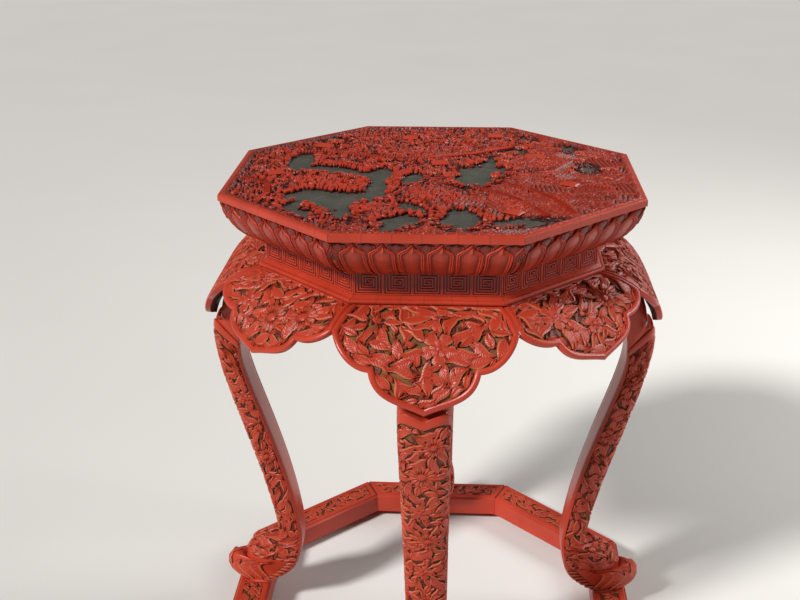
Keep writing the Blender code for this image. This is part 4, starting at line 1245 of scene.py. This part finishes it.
def repeat_tree():
    """Sets a unit along a straight side and turns the row round all the sides."""
    tree, given = new_tree("units_round_the_sides", {
        "Unit": "Geometry",
        "Units": "Int",
        "Spacing": "Float",
        "Sides": "Int",
        "Finish": "Material",
    })
    gaps = node(tree, MATH, {0: given["Units"], 1: 1.0}, operation="SUBTRACT")
    half = node(tree, MATH, {0: gaps, 1: -0.5}, operation="MULTIPLY")
    first = node(tree, MATH, {0: half, 1: given["Spacing"]}, operation="MULTIPLY")
    line = node(tree, "GeometryNodeMeshLine", {
        "Count": given["Units"],
        "Start Location": node(tree, COMBINE, {"X": first}),
        "Offset": node(tree, COMBINE, {"X": given["Spacing"]}),
    })
    row = node(tree, ON_POINTS, {"Points": line, "Instance": given["Unit"]})
    whole = node(tree, "GeometryNodeGeometryToInstance", {0: row})
    axis = node(tree, "GeometryNodeMeshLine", {"Count": given["Sides"], "Offset": (0.0, 0.0, 0.0)})
    step = node(tree, MATH, {0: math.tau, 1: given["Sides"]}, operation="DIVIDE")
    turn = node(tree, MATH, {0: node(tree, "GeometryNodeInputIndex"), 1: step}, operation="MULTIPLY")
    facing = node(tree, "FunctionNodeEulerToRotation", {0: node(tree, COMBINE, {"Z": turn})})
    sides = node(tree, ON_POINTS, {"Points": axis, "Instance": whole, "Rotation": facing})
    real = node(tree, "GeometryNodeRealizeInstances", {0: sides})
    done = node(tree, SET_MATERIAL, {"Geometry": real, "Material": given["Finish"]})
    node(tree, "NodeGroupOutput", {0: done}, None)
    return tree


units_round = repeat_tree()
fret = made_by_nodes("waist_key_fret", mesh_from("fret_unit", bm), units_round, {
    "Units": FRET_UNITS,
    "Spacing": 2 * mitred(WAIST_OUT, 1.0) / FRET_UNITS,
    "Sides": 8,
    "Finish": carved_lacquer,
})
layer = fret.data.attributes.new("lift", "FLOAT", "POINT")
layer.data.foreach_set("value", np.ones(len(fret.data.vertices), np.float32))
settle(fret)


# Top frame
# Eight mitred rails round the panel: a plain rounded rim above a hollow-backed ovolo, which is carved with a
# row of upright lotus petals on each side, a plain petal folded over each corner, and petal tips between.

RIM_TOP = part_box("top_rail_front")[1].z
TOP_OUT = -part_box("top_rail_front")[0].y
RIM_HEIGHT = 0.007
OVOLO_LEDGE = 0.004
OVOLO_GAP = 0.0003
PETALS = 6
PETAL_SHARE = 0.925
PETAL_GAP = 0.94
PETAL_RELIEF = 0.0022
PETAL_NEST = 0.12
PETAL_LEAN = 0.16
TIP_CLEARANCE = 0.0008
TIP_FROM = 0.88
TIP_CURL = 0.55
TIP_BETWEEN = 0.30
TIP_BETWEEN_RELIEF = 0.62 * PETAL_RELIEF
CORNER_PETAL_HALF = 0.075
CORNER_PETAL_GAP = 0.004
CORNER_PETAL_RELIEF = 0.8 * PETAL_RELIEF

# A petal's section as (share of half width, height), and its outline as (share of length, share of width):
# straight sides, round shoulders and an ogee to the point
PETAL_SECTION = (
    (1.0, CUT_END), (1.0, 0.50), (0.96, 0.92), (0.91, 1.0), (0.87, 0.82), (0.84, 0.52), (0.80, 0.78),
    (0.76, 0.86), (0.72, 0.72), (0.67, 0.42), (0.40, 0.60), (0.0, 0.70),
)
PETAL_OUTLINE = (
    (0.0, 0.90), (0.40, 0.955), (0.70, 0.985), (0.80, 1.0), (0.83, 0.985), (0.85, 0.93), (0.875, 0.73),
    (0.90, 0.48), (0.925, 0.29), (0.95, 0.17), (0.975, 0.10), (1.0, 0.03),
)

for name in SIDE_NAMES:
    nodes[f"top_rail_{name}"].material_slots[0].material = framed_lacquer

ovolo_in = WAIST_OUT + OVOLO_GAP
ovolo_top = RIM_TOP - RIM_HEIGHT
ovolo_face, ovolo_lengths = walk(
    quarter((ovolo_in, ovolo_top), (TOP_OUT - OVOLO_LEDGE - ovolo_in, ovolo_top - RAIL_BOTTOM), 0, -90)
)
ovolo_surface = side_surface("ovolo", ovolo_face, ovolo_lengths[-1], SKIN)


def draw_petal(bm, middle, half, foot, relief, low=-1.0, high=1.0):
    """A petal on the ovolo, from a foot length down its face up to its tip, between shares of the side."""
    rows = []
    section = [(-q, h) for q, h in PETAL_SECTION] + [(q, h) for q, h in reversed(PETAL_SECTION[:-1])]
    for t in np.concatenate([np.linspace(0, 0.78, 7), np.linspace(0.80, 1.0, 17)]):
        width = float(np.interp(t, *zip(*PETAL_OUTLINE)))
        tip = max(0.0, (t - TIP_FROM) / (1 - TIP_FROM)) ** 2
        curl = 1 + TIP_CURL * tip
        row = []
        for q, h in section:
            length = foot + (TIP_CLEARANCE - foot) * t * (1 - PETAL_NEST * (1 - abs(q)))
            reach = ovolo_face(length)[0][0] * MITRE
            share = min(max(middle + half * (width * q + PETAL_LEAN * tip), low), high)
            row.append(bm.verts.new((share * reach, -length, h * relief * (curl if h > 0 else 1))))
        rows.append(row)
    for lower, upper in zip(rows, rows[1:]):
        for i in range(len(lower) - 1):
            bm.faces.new((lower[i], lower[i + 1], upper[i + 1], upper[i]))


bm = new_drawing()
pitch = 2 * PETAL_SHARE / PETALS
full = ovolo_lengths[-1]
for k in range(PETALS):
    draw_petal(bm, -PETAL_SHARE + pitch * (k + 0.5), 0.5 * PETAL_GAP * pitch, full, PETAL_RELIEF)
for k in range(PETALS + 1):
    draw_petal(bm, -PETAL_SHARE + pitch * k, TIP_BETWEEN * pitch, TIP_BETWEEN * full, TIP_BETWEEN_RELIEF)
inner_end = PETAL_SHARE + CORNER_PETAL_GAP
draw_petal(bm, -1, CORNER_PETAL_HALF, full, CORNER_PETAL_RELIEF, high=-inner_end)
draw_petal(bm, 1, CORNER_PETAL_HALF, full, CORNER_PETAL_RELIEF, low=inner_end)
petal_row = carve("petal_row", bm, ovolo_surface, PETAL_RELIEF, flower_carving)
petals = made_by_nodes("lotus_petal_band", petal_row.data, units_round, {
    "Units": 1,
    "Spacing": 0.0,
    "Sides": 8,
    "Finish": carved_lacquer,
})
bpy.data.objects.remove(petal_row)
settle(petals)


# Top panel and carved field
# A floating panel let into the rails, on two battens. Over panel and rails lies one thick coat of lacquer,
# carved as a landscape: pools cut down to a grey-green coat, knuckled rocks, ruled terraces, stepped paths,
# woods and pavilions.

FIELD_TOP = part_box("carved_field")[0].z
FIELD_OUT = TOP_OUT - 0.0080
FIELD_EDGE = TOP_OUT - 0.0045
LAND_TOP = FIELD_TOP + 0.0023
KNOLLS_ABOVE = LAND_TOP + 0.0008
FIELD_PITCH = 0.00085
LANDSCAPE_RELIEF = 0.0042
CUTS = (
    (-0.068, -0.076, 0.014, 0.016), (-0.088, -0.104, 0.020, 0.015), (-0.053, 0.066, 0.005, 0.009),
    (0.084, 0.099, 0.009, 0.008), (0.141, 0.111, 0.006, 0.009), (0.155, 0.028, 0.006, 0.009),
    (0.094, 0.152, 0.004, 0.011), (-0.114, 0.138, 0.005, 0.010), (-0.134, 0.050, 0.011, 0.030),
    (-0.053, -0.012, 0.012, 0.024), (0.042, 0.010, 0.020, 0.022), (0.056, 0.046, 0.010, 0.018),
    (-0.024, -0.152, 0.014, 0.017), (0.030, -0.145, 0.019, 0.022), (0.080, -0.151, 0.022, 0.007),
)
SHORE_WANDER = ((0.010, 3.0, 0.0, 0.78, 0.008), (0.026, 2.0, 7.0, 0.5, 0.020))
PLOT = 0.036
FURROW = 0.0044
RIPPLE = 0.0026
WOODS_CLOUD = 0.045
ROCK_SPACING = 0.0034
ROCK_JITTER = 0.001
ROCK_ROWS = ((0.0034, 0.94), (0.0070, 0.65), (0.0105, 0.35))
HEADLAND_ROWS = ((-0.0005, 0.9), (-0.0035, 0.7), (-0.0060, 0.4))
HEADLAND_ROOM = 0.022
ROCK_HEIGHTS = (0.0022, 0.0030, 0.0040, 0.0050)
ROCK_SIZES = (0.0015, 0.0034)
ROCKS_ON_KNOLLS = 380
ROCKS_ON_LAND = 900
TREES = 150
TREE_SIZES = (0.0034, 0.0056)
TREE_RELIEF = 0.0040
TREE_ROOM = 0.014
PAVILION_RELIEF = 0.0058
PATH_WIDTH = 0.0060
PATH_RELIEF = 0.0038
TREAD_PITCH = 0.0034
TOUCHING = 1e-6
SHORE_MARGIN = 0.002
SHORE_ROCK_MARGIN = 0.004
LAND_ROCK_MARGIN = 0.005
TREE_MARGIN = 0.010

# Layered lacquer of the top: red where it was left, darkening towards near-black maroon low down and in
# the pits, partly the darker cut lacquer and partly painted shade; grey-green where it is cut through
layered_lacquer, tree, shader, place = new_material("cinnabar_over_grey_green_lacquer_cut")
dull = clouded(tree, place, 0.015, 5.0, "#33352f", "#5f6056")[0]
red = clouded(tree, place, 0.02, 4.0, RED_DEEP, RED_LIT)[0]
lift = node(tree, ATTRIBUTE, out="Fac", attribute_name="lift")
land = node(tree, ATTRIBUTE, out="Fac", attribute_name="land")
# Painted shade: low parts of the landscape and the pits in it go towards a near-black maroon
height = node(tree, MAP_RANGE, {"Value": lift, "From Min": 0.16, "From Max": 0.62})
pits = node(tree, VORONOI, {"Vector": place, "Scale": 1 / 0.0022}, "Distance", feature="F1")
whole = node(tree, MAP_RANGE, {"Value": pits, "From Min": 0.66, "From Max": 0.28, "To Min": 0.45})
pitted = node(tree, MATH, {0: height, 1: whole}, operation="MULTIPLY")
cut = node(tree, MIX, {0: pitted, 6: linear(RED_CUT_AND_SHADE), 7: red}, 2, data_type="RGBA")
knife = node(tree, NOISE, {"Vector": place, "Scale": 1 / 0.0022, "Detail": 3.0}, "Fac")
worked = node(tree, MATH, {0: knife, 1: whole}, operation="ADD")
connect(tree, shader, {
    "Base Color": node(tree, MIX, {0: land, 6: dull, 7: cut}, 2, data_type="RGBA"),
    "Roughness": 0.40,
    "Normal": node(tree, BUMP, {"Height": worked, "Strength": 0.7, "Distance": 0.0007}),
    "Specular IOR Level": LACQUER_SHINE,
})
nodes["top_panel"].material_slots[0].material = layered_lacquer
for name in ("left", "right"):
    nodes[f"batten_{name}"].material_slots[0].material = black_lacquer


def packed_field(wanted):
    """The faces wanted of the field's solid, welded and laid flat at the field's level."""
    solid = nodes["carved_field"]
    bm = bmesh.new()
    bm.from_mesh(solid.data)
    bm.transform(solid.matrix_world)
    bm.normal_update()
    bmesh.ops.delete(bm, geom=[face for face in bm.faces if not wanted(face)], context="FACES")
    bmesh.ops.remove_doubles(bm, verts=bm.verts, dist=1e-5)
    for vert in bm.verts:
        vert.co.z = FIELD_TOP
    return bm


def inside_field(spot, margin):
    ways = [(math.cos(k * math.tau / 8), math.sin(k * math.tau / 8)) for k in range(8)]
    return max(spot[0] * c + spot[1] * s for c, s in ways) < FIELD_OUT - margin


# Rocks along the shores, on the front knolls and scattered on the land, thickest at the back left, as
# (x, y, turn, height)
rng = np.random.default_rng(11)
land_faces = packed_field(lambda face: face.normal.z < -0.9)
land_tree = BVHTree.FromBMesh(land_faces)
knoll_faces = packed_field(lambda face: face.normal.z > 0.9 and face.calc_center_median().z > KNOLLS_ABOVE)
shore_edges = [
    edge for edge in land_faces.edges
    if edge.is_boundary and inside_field((edge.verts[0].co + edge.verts[1].co) / 2, SHORE_MARGIN)
]
shore_lines = bmesh.new()
rocks = []
for edge in shore_edges:
    start, stop = (vert.co for vert in edge.verts)
    shore_lines.edges.new((shore_lines.verts.new(start), shore_lines.verts.new(stop)))
    along = (stop - start).normalized()
    inland = Vector((-along.y, along.x, 0.0))
    if inland.dot(edge.link_faces[0].calc_center_median() - start) < 0:
        inland = -inland
    wide = land_tree.find_nearest((start + stop) / 2 - inland * HEADLAND_ROOM)[3] > TOUCHING
    headland = wide and math.sin(230 * start.x) + math.sin(190 * start.y + 1.0) > 0.9
    heights = ROCK_HEIGHTS[2:] if inland.y > 0 else ROCK_HEIGHTS[:2]
    for t in np.arange(0.5 * ROCK_SPACING, (stop - start).length, ROCK_SPACING):
        for distance, chance in ROCK_ROWS + HEADLAND_ROWS * headland:
            slid = t + rng.uniform(-ROCK_JITTER, ROCK_JITTER)
            back = distance + rng.uniform(-ROCK_JITTER, ROCK_JITTER)
            spot = start + along * slid + inland * back
            if rng.random() < chance and inside_field(spot, SHORE_ROCK_MARGIN):
                turn = math.atan2(-inland.y, -inland.x) + rng.uniform(-0.4, 0.4)
                rocks.append((spot.x, spot.y, turn, rng.choice(heights)))
bmesh.ops.triangulate(knoll_faces, faces=knoll_faces.faces)
triangles = list(knoll_faces.faces)
areas = np.array([face.calc_area() for face in triangles])
for number in rng.choice(len(triangles), ROCKS_ON_KNOLLS, p=areas / areas.sum()):
    shares = rng.dirichlet((1.0, 1.0, 1.0))
    spot = sum((vert.co * share for vert, share in zip(triangles[number].verts, shares)), Vector((0, 0, 0)))
    if spot.y < 0:
        rocks.append((spot.x, spot.y, rng.uniform(-2.4, -0.7), rng.choice(ROCK_HEIGHTS[2:])))
scattered = 0
while scattered < ROCKS_ON_LAND:
    x, y = rng.uniform(-FIELD_OUT, FIELD_OUT, 2)
    on_land = land_tree.find_nearest(Vector((x, y, FIELD_TOP)))[3] < TOUCHING
    if on_land and inside_field((x, y), LAND_ROCK_MARGIN) and x - 0.6 * y < rng.uniform(-0.05, 0.09):
        rocks.append((x, y, rng.uniform(0, math.tau), rng.choice(ROCK_HEIGHTS[1:])))
        scattered += 1
land_guide = template("land_faces", mesh_from("land_faces", land_faces))
knoll_guide = template("knoll_faces", mesh_from("knoll_faces", knoll_faces))
shore_guide = template("shore_lines", mesh_from("shore_lines", shore_lines))


def landscape_tree():
    """Raises a flat sheet into banks, ruled terraces, woods and knolls, by its distance from the shores."""
    tree, given = new_tree("carved_landscape", {
        "Sheet": "Geometry",
        "Land": "Object",
        "Shores": "Object",
        "Knolls": "Object",
        "Relief": "Float",
        "Finish": "Material",
    })
    spot = node(tree, "GeometryNodeInputPosition")
    xy = node(tree, SEPARATE, {0: spot}, None)
    off = {}
    for name, element in (("Land", "FACES"), ("Shores", "EDGES"), ("Knolls", "FACES")):
        shape = node(tree, OBJECT_INFO, {"Object": given[name]}, "Geometry")
        links = {"Geometry": shape, "Sample Position": spot}
        off[name] = node(tree, "GeometryNodeProximity", links, "Distance", target_element=element)

    # How far inland of the shore a spot lies, with the small cuts of water, along a line that wanders
    wet = node(tree, MATH, {0: off["Land"], 1: 0.00002}, operation="GREATER_THAN")
    sign = node(tree, MATH, {0: wet, 1: -2.0, 2: 1.0}, operation="MULTIPLY_ADD")
    shore = node(tree, MATH, {0: off["Shores"], 1: sign}, operation="MULTIPLY")
    for right, behind, length, width in CUTS:
        away = node(tree, VECTOR_MATH, {0: spot, 1: (right, behind, FIELD_TOP)}, operation="SUBTRACT")
        scaled = node(tree, VECTOR_MATH, {0: away, 1: (1 / length, 1 / width, 0.0)}, operation="MULTIPLY")
        out = node(tree, VECTOR_MATH, {0: scaled}, "Value", operation="LENGTH")
        past = node(tree, MATH, {0: out, 1: 0.75}, operation="SUBTRACT")
        past = node(tree, MATH, {0: past, 1: min(length, width)}, operation="MULTIPLY")
        shore = node(tree, MATH, {0: shore, 1: past}, operation="MINIMUM")
    for size, detail, seed, middle, sway in SHORE_WANDER:
        links = {"Vector": spot, "Scale": 1 / size, "Detail": detail, "W": seed}
        wander = node(tree, NOISE, links, "Fac", noise_dimensions="4D")
        wander = node(tree, MATH, {0: wander, 1: middle}, operation="SUBTRACT")
        shore = node(tree, MATH, {0: wander, 1: sway, 2: shore}, operation="MULTIPLY_ADD")
    dry = node(tree, MAP_RANGE, {"Value": shore, "From Max": 0.0008})
    bank = node(tree, MAP_RANGE, {"Value": shore, "From Min": 0.012, "From Max": 0.007})

    # Knuckled rock of the banks, and the round heads of woods
    rock, woods = (
        node(tree, MAP_RANGE, {
            "Value": node(tree, VORONOI, {"Vector": spot, "Scale": 1 / size}, "Distance", feature="F1"),
            "From Min": far,
            "From Max": near,
            "To Min": low,
            "To Max": high,
        })
        for size, far, near, low, high in ((0.0042, 0.62, 0.14, 0.05, 0.48), (0.0036, 0.64, 0.12, 0.08, 0.84))
    )

    # Terraced plots with a kerb round each, ruled in a direction of its own
    plots = {"Vector": spot, "Scale": 1 / PLOT, "Randomness": 0.95}
    random = node(tree, SEPARATE, {0: node(tree, VORONOI, plots, "Color", feature="F1")}, None)
    gap = node(tree, VORONOI, plots, "Distance", feature="DISTANCE_TO_EDGE")
    kerb = node(tree, MAP_RANGE, {"Value": gap, "From Min": 0.050, "From Max": 0.034, "To Max": 0.78})
    heading = node(tree, MATH, {0: random["X"], 1: math.tau}, operation="MULTIPLY")
    sine = node(tree, MATH, {0: heading}, operation="SINE")
    cosine = node(tree, MATH, {0: heading}, operation="COSINE")
    along = node(tree, MATH, {0: xy["Y"], 1: sine}, operation="MULTIPLY")
    along = node(tree, MATH, {0: xy["X"], 1: cosine, 2: along}, operation="MULTIPLY_ADD")
    along = node(tree, MATH, {0: along, 1: math.tau / FURROW}, operation="MULTIPLY")
    ruled = node(tree, MATH, {0: along}, operation="SINE")
    terrace = node(tree, MATH, {0: random["Y"], 1: 0.16, 2: 0.38}, operation="MULTIPLY_ADD")
    ruled = node(tree, MATH, {0: ruled, 1: 0.22, 2: terrace}, operation="MULTIPLY_ADD")
    fields = node(tree, MATH, {0: ruled, 1: kerb}, operation="MAXIMUM")

    # Woods in clumps, more of them towards the back left, and knolls that swell under all of it
    slope = node(tree, MATH, {0: xy["Y"], 1: -0.6, 2: xy["X"]}, operation="MULTIPLY_ADD")
    links = {"Value": slope, "From Min": -0.02, "From Max": 0.10, "To Min": 0.13, "To Max": -0.12}
    lowland = node(tree, MAP_RANGE, links)
    links = {"Vector": spot, "Scale": 1 / WOODS_CLOUD, "Detail": 2.0, "W": 3.0}
    clump = node(tree, NOISE, links, "Fac", noise_dimensions="4D")
    clump = node(tree, MATH, {0: clump, 1: lowland}, operation="ADD")
    wooded = node(tree, MAP_RANGE, {"Value": clump, "From Min": 0.48, "From Max": 0.53})
    country = node(tree, MIX, {0: wooded, 2: fields, 3: woods}, data_type="FLOAT")
    links = {"Value": off["Knolls"], "From Min": 0.007, "From Max": 0.0, "To Max": 0.22}
    knoll = node(tree, MAP_RANGE, links)
    ground = node(tree, MIX, {0: bank, 2: country, 3: rock}, data_type="FLOAT")
    ground = node(tree, MATH, {0: ground, 1: knoll}, operation="ADD")

    # Ripples on the water, and the octagon's edge, where the carving climbs over the rim and ends level
    ripple = node(tree, MATH, {0: shore, 1: math.tau / RIPPLE}, operation="MULTIPLY")
    ripple = node(tree, MATH, {0: ripple}, operation="SINE")
    ripple = node(tree, MATH, {0: ripple, 1: 0.022}, operation="MULTIPLY")
    beside_x = node(tree, MATH, {0: xy["X"]}, operation="ABSOLUTE")
    beside_y = node(tree, MATH, {0: xy["Y"]}, operation="ABSOLUTE")
    flats = node(tree, MATH, {0: beside_x, 1: beside_y}, operation="MAXIMUM")
    slants = node(tree, MATH, {0: beside_x, 1: beside_y}, operation="ADD")
    slants = node(tree, MATH, {0: slants, 1: math.sqrt(0.5)}, operation="MULTIPLY")
    outer = node(tree, MATH, {0: flats, 1: slants}, operation="MAXIMUM")
    links = {"Value": outer, "From Min": FIELD_OUT - 0.0010, "From Max": FIELD_OUT - 0.0001}
    over_rim = node(tree, MAP_RANGE, links)
    links = {"Value": outer, "From Min": FIELD_EDGE - 0.0008, "From Max": FIELD_EDGE - 0.0001}
    at_edge = node(tree, MAP_RANGE, links)
    land = node(tree, MATH, {0: dry, 1: over_rim}, operation="MAXIMUM")
    carved = node(tree, MIX, {0: dry, 2: ripple, 3: ground}, data_type="FLOAT")
    rim_high = node(tree, MATH, {0: country, 1: 0.24, 2: 0.92}, operation="MULTIPLY_ADD")
    rim_lift = node(tree, MATH, {0: country, 1: 0.5, 2: 0.42}, operation="MULTIPLY_ADD")
    high = node(tree, MIX, {0: over_rim, 2: carved, 3: rim_high}, data_type="FLOAT")
    high = node(tree, MIX, {0: at_edge, 2: high, 3: 0.85}, data_type="FLOAT")
    high = node(tree, MATH, {0: high, 1: given["Relief"]}, operation="MULTIPLY")
    # The lift sets the finish's painted shade; over the rim it is kept mid to high, so the rim is not
    # darkened
    lift = node(tree, MIX, {0: over_rim, 2: carved, 3: rim_lift}, data_type="FLOAT")
    raised = given["Sheet"]
    for name, value in (("lift", lift), ("land", land)):
        links = {"Geometry": raised, "Name": name, "Value": value}
        raised = node(tree, STORE, links, data_type="FLOAT", domain="POINT")
    links = {"Geometry": raised, "Offset": node(tree, COMBINE, {"Z": high})}
    real = node(tree, "GeometryNodeRealizeInstances", {0: node(tree, "GeometryNodeSetPosition", links)})
    done = node(tree, SET_MATERIAL, {"Geometry": real, "Material": given["Finish"]})
    node(tree, "NodeGroupOutput", {0: done}, None)
    return tree


landscape = landscape_tree()
QUARTERS = {"front_left": (-1, -1), "front_right": (1, -1), "back_right": (1, 1), "back_left": (-1, 1)}
for name, (right, behind) in QUARTERS.items():
    bm = bmesh.new()
    half = FIELD_EDGE / 2
    count = round(FIELD_EDGE / FIELD_PITCH)
    bmesh.ops.create_grid(bm, x_segments=count, y_segments=count, size=half)
    bmesh.ops.translate(bm, vec=(right * half, behind * half, FIELD_TOP), verts=bm.verts)
    for k in range(4):
        turn = (2 * k + 1) * math.pi / 4
        corner = Vector((math.cos(turn), math.sin(turn), 0.0))
        bmesh.ops.bisect_plane(
            bm,
            geom=bm.verts[:] + bm.edges[:] + bm.faces[:],
            plane_co=corner * FIELD_EDGE,
            plane_no=corner,
            clear_outer=True,
        )
    piece = made_by_nodes(f"top_landscape_{name}", mesh_from("sheet", bm), landscape, {
        "Land": land_guide,
        "Shores": shore_guide,
        "Knolls": knoll_guide,
        "Relief": LANDSCAPE_RELIEF,
        "Finish": layered_lacquer,
    })
    settle(piece)
    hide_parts("carved_field")

# Rocks, trees, pavilions and the treads of paths stand on the land as small carvings, each modelled once
field_shapes = []
for squeeze in (0.46, 0.58, 0.74):
    bm = bmesh.new()
    vein = bm.verts.layers.float_vector.new("vein")
    corners = np.arange(6) * math.tau / 6 + rng.uniform(-0.35, 0.35, 6)
    reaches = rng.uniform(0.80, 1.15, 6)
    rings = []
    for radius, high in ((1.06, -0.05), (1.0, 0.70), (0.78, 0.96), (0.34, 1.0)):
        ring = []
        for turn, reach in zip(corners, reaches):
            x, y = radius * reach * math.cos(turn), squeeze * radius * reach * math.sin(turn)
            ring.append(bm.verts.new((x, y, high * (1 - 0.16 * x * (high > 0)))))
            ring[-1][vein] = (0.5, 0.5, 0.0)
        rings.append(ring)
    for lower, upper in zip(rings, rings[1:]):
        for i in range(6):
            j = (i + 1) % 6
            bm.faces.new((lower[i], lower[j], upper[j], upper[i]))
    bm.faces.new(rings[-1])
    field_shapes.append(template("rock", mesh_from("rock", bm)))
bm = bmesh.new()
for k in range(8):
    blade(bm, 0.34, 1.5, 2, turn=k * math.tau / 8, start=0.12, reach=0.88, section=RAY_SECTION)
dome(bm, 0.30, 0.35, 0.8)
field_shapes.append(template("tree", mesh_from("tree", bm)))
pavilion = bmesh.new()
pavilion.verts.layers.float_vector.new("vein")
for (half_length, half_width, low), (top_length, top_width, high) in (
    ((1.00, 0.74, CUT_END), (1.00, 0.74, 0.34)),
    ((0.60, 0.40, 0.34), (0.60, 0.40, 0.56)),
    ((0.96, 0.70, 0.52), (0.80, 0.48, 0.74)),
    ((0.80, 0.48, 0.74), (0.52, 0.05, 1.00)),
):
    for vert in bmesh.ops.create_cube(pavilion, size=2.0)["verts"]:
        x, y, up = vert.co
        vert.co = (x * top_length, y * top_width, high) if up > 0 else (x * half_length, y * half_width, low)
field_shapes.append(template("pavilion", mesh_from("pavilion", pavilion)))
tread = bmesh.new()
tread.verts.layers.float_vector.new("vein")
for vert in bmesh.ops.create_cube(tread, size=2.0)["verts"]:
    x, y, up = vert.co
    vert.co = (0.36 * x, 0.95 * y, 1.0 + 0.10 * x) if up > 0 else (0.46 * x, y, CUT_END)
field_shapes.append(template("tread", mesh_from("tread", tread)))
ROCKS, TREE, PAVILION, TREAD = (1, 2, 3), 4, 5, 6
PAVILIONS = (
    (0.104, 0.070, 0.10, 0.0105), (0.064, 0.158, 0.0, 0.0090), (-0.122, 0.108, -0.3, 0.0100),
    (0.006, 0.040, 0.15, 0.0095), (-0.030, 0.146, 0.1, 0.0085), (0.132, -0.034, -0.5, 0.0095),
    (-0.156, -0.004, 0.4, 0.0090), (0.076, -0.128, -0.6, 0.0090),
)
PATHS = (
    ((0.040, -0.046), (0.060, -0.062), (0.080, -0.086), (0.096, -0.116), (0.104, -0.134)),
    ((0.068, -0.030), (0.094, -0.052), (0.116, -0.088), (0.130, -0.130)),
    ((0.070, 0.006), (0.110, -0.006), (0.146, -0.034), (0.176, -0.046)),
    ((-0.186, -0.020), (-0.160, -0.040), (-0.154, -0.074), (-0.160, -0.100)),
    ((-0.160, 0.080), (-0.110, 0.084), (-0.060, 0.064), (-0.010, 0.060), (0.040, 0.080), (0.080, 0.110)),
)

field_surface = grid_surface(
    "field",
    lambda b: np.linspace(-TOP_OUT, TOP_OUT, 3),
    np.linspace(-TOP_OUT, TOP_OUT, 3),
    lambda a, b: (a, b, FIELD_TOP),
    lambda a, b: (0.0, 0.0, 1.0),
)


def clear(x, y):
    """Whether a rock here stands in no cut, on no path and against no pavilion."""
    spot = np.array((x, y))
    if any(math.hypot((x - c[0]) / c[2], (y - c[1]) / c[3]) < 0.95 for c in CUTS):
        return False
    for line in PATHS:
        for start, stop in zip(np.array(line), np.array(line)[1:]):
            share = np.clip((spot - start) @ (stop - start) / ((stop - start) @ (stop - start)), 0, 1)
            if np.linalg.norm(start + share * (stop - start) - spot) < PATH_WIDTH:
                return False
    return all(math.hypot(x - p[0], y - p[1]) > 1.3 * p[3] for p in PAVILIONS)


def treads(line):
    """Steps laid across a path, evenly along it."""
    points = np.array(line)
    runs = np.diff(points, axis=0)
    lengths = np.concatenate([[0.0], np.cumsum(np.linalg.norm(runs, axis=1))])
    laid = []
    for length in np.arange(0.5 * TREAD_PITCH, lengths[-1], TREAD_PITCH):
        x, y = (np.interp(length, lengths, points[:, i]) for i in (0, 1))
        along = runs[np.searchsorted(lengths, length) - 1]
        laid.append((x, y, math.atan2(along[1], along[0]), PATH_WIDTH / 2, TREAD))
    return laid


bm = new_drawing()
for line in PATHS:
    draw_motifs(bm, treads(line), PATH_RELIEF)
for relief in ROCK_HEIGHTS:
    draw_motifs(bm, [
        (x, y, turn, rng.uniform(*ROCK_SIZES), int(rng.choice(ROCKS)))
        for x, y, turn, height in rocks if height == relief and clear(x, y)
    ], relief)
trees = []
while len(trees) < TREES:
    x, y = rng.uniform(-FIELD_OUT, FIELD_OUT, 2)
    on_land = land_tree.find_nearest(Vector((x, y, FIELD_TOP)))[3] < TOUCHING
    far = min(math.hypot(x - p[0], y - p[1]) for p in PAVILIONS)
    if on_land and far > TREE_ROOM and inside_field((x, y), TREE_MARGIN) and (y > -0.02 or x < -0.13):
        trees.append((x, y, rng.uniform(0, math.tau), rng.uniform(*TREE_SIZES), TREE))
draw_motifs(bm, trees, TREE_RELIEF)
draw_motifs(bm, [(x, y, turn, size, PAVILION) for x, y, turn, size in PAVILIONS], PAVILION_RELIEF)
settle(carve("top_rocks_and_paths", bm, field_surface, LANDSCAPE_RELIEF, carving_tree(field_shapes)))

for piece in templates:
    bpy.data.objects.remove(piece)
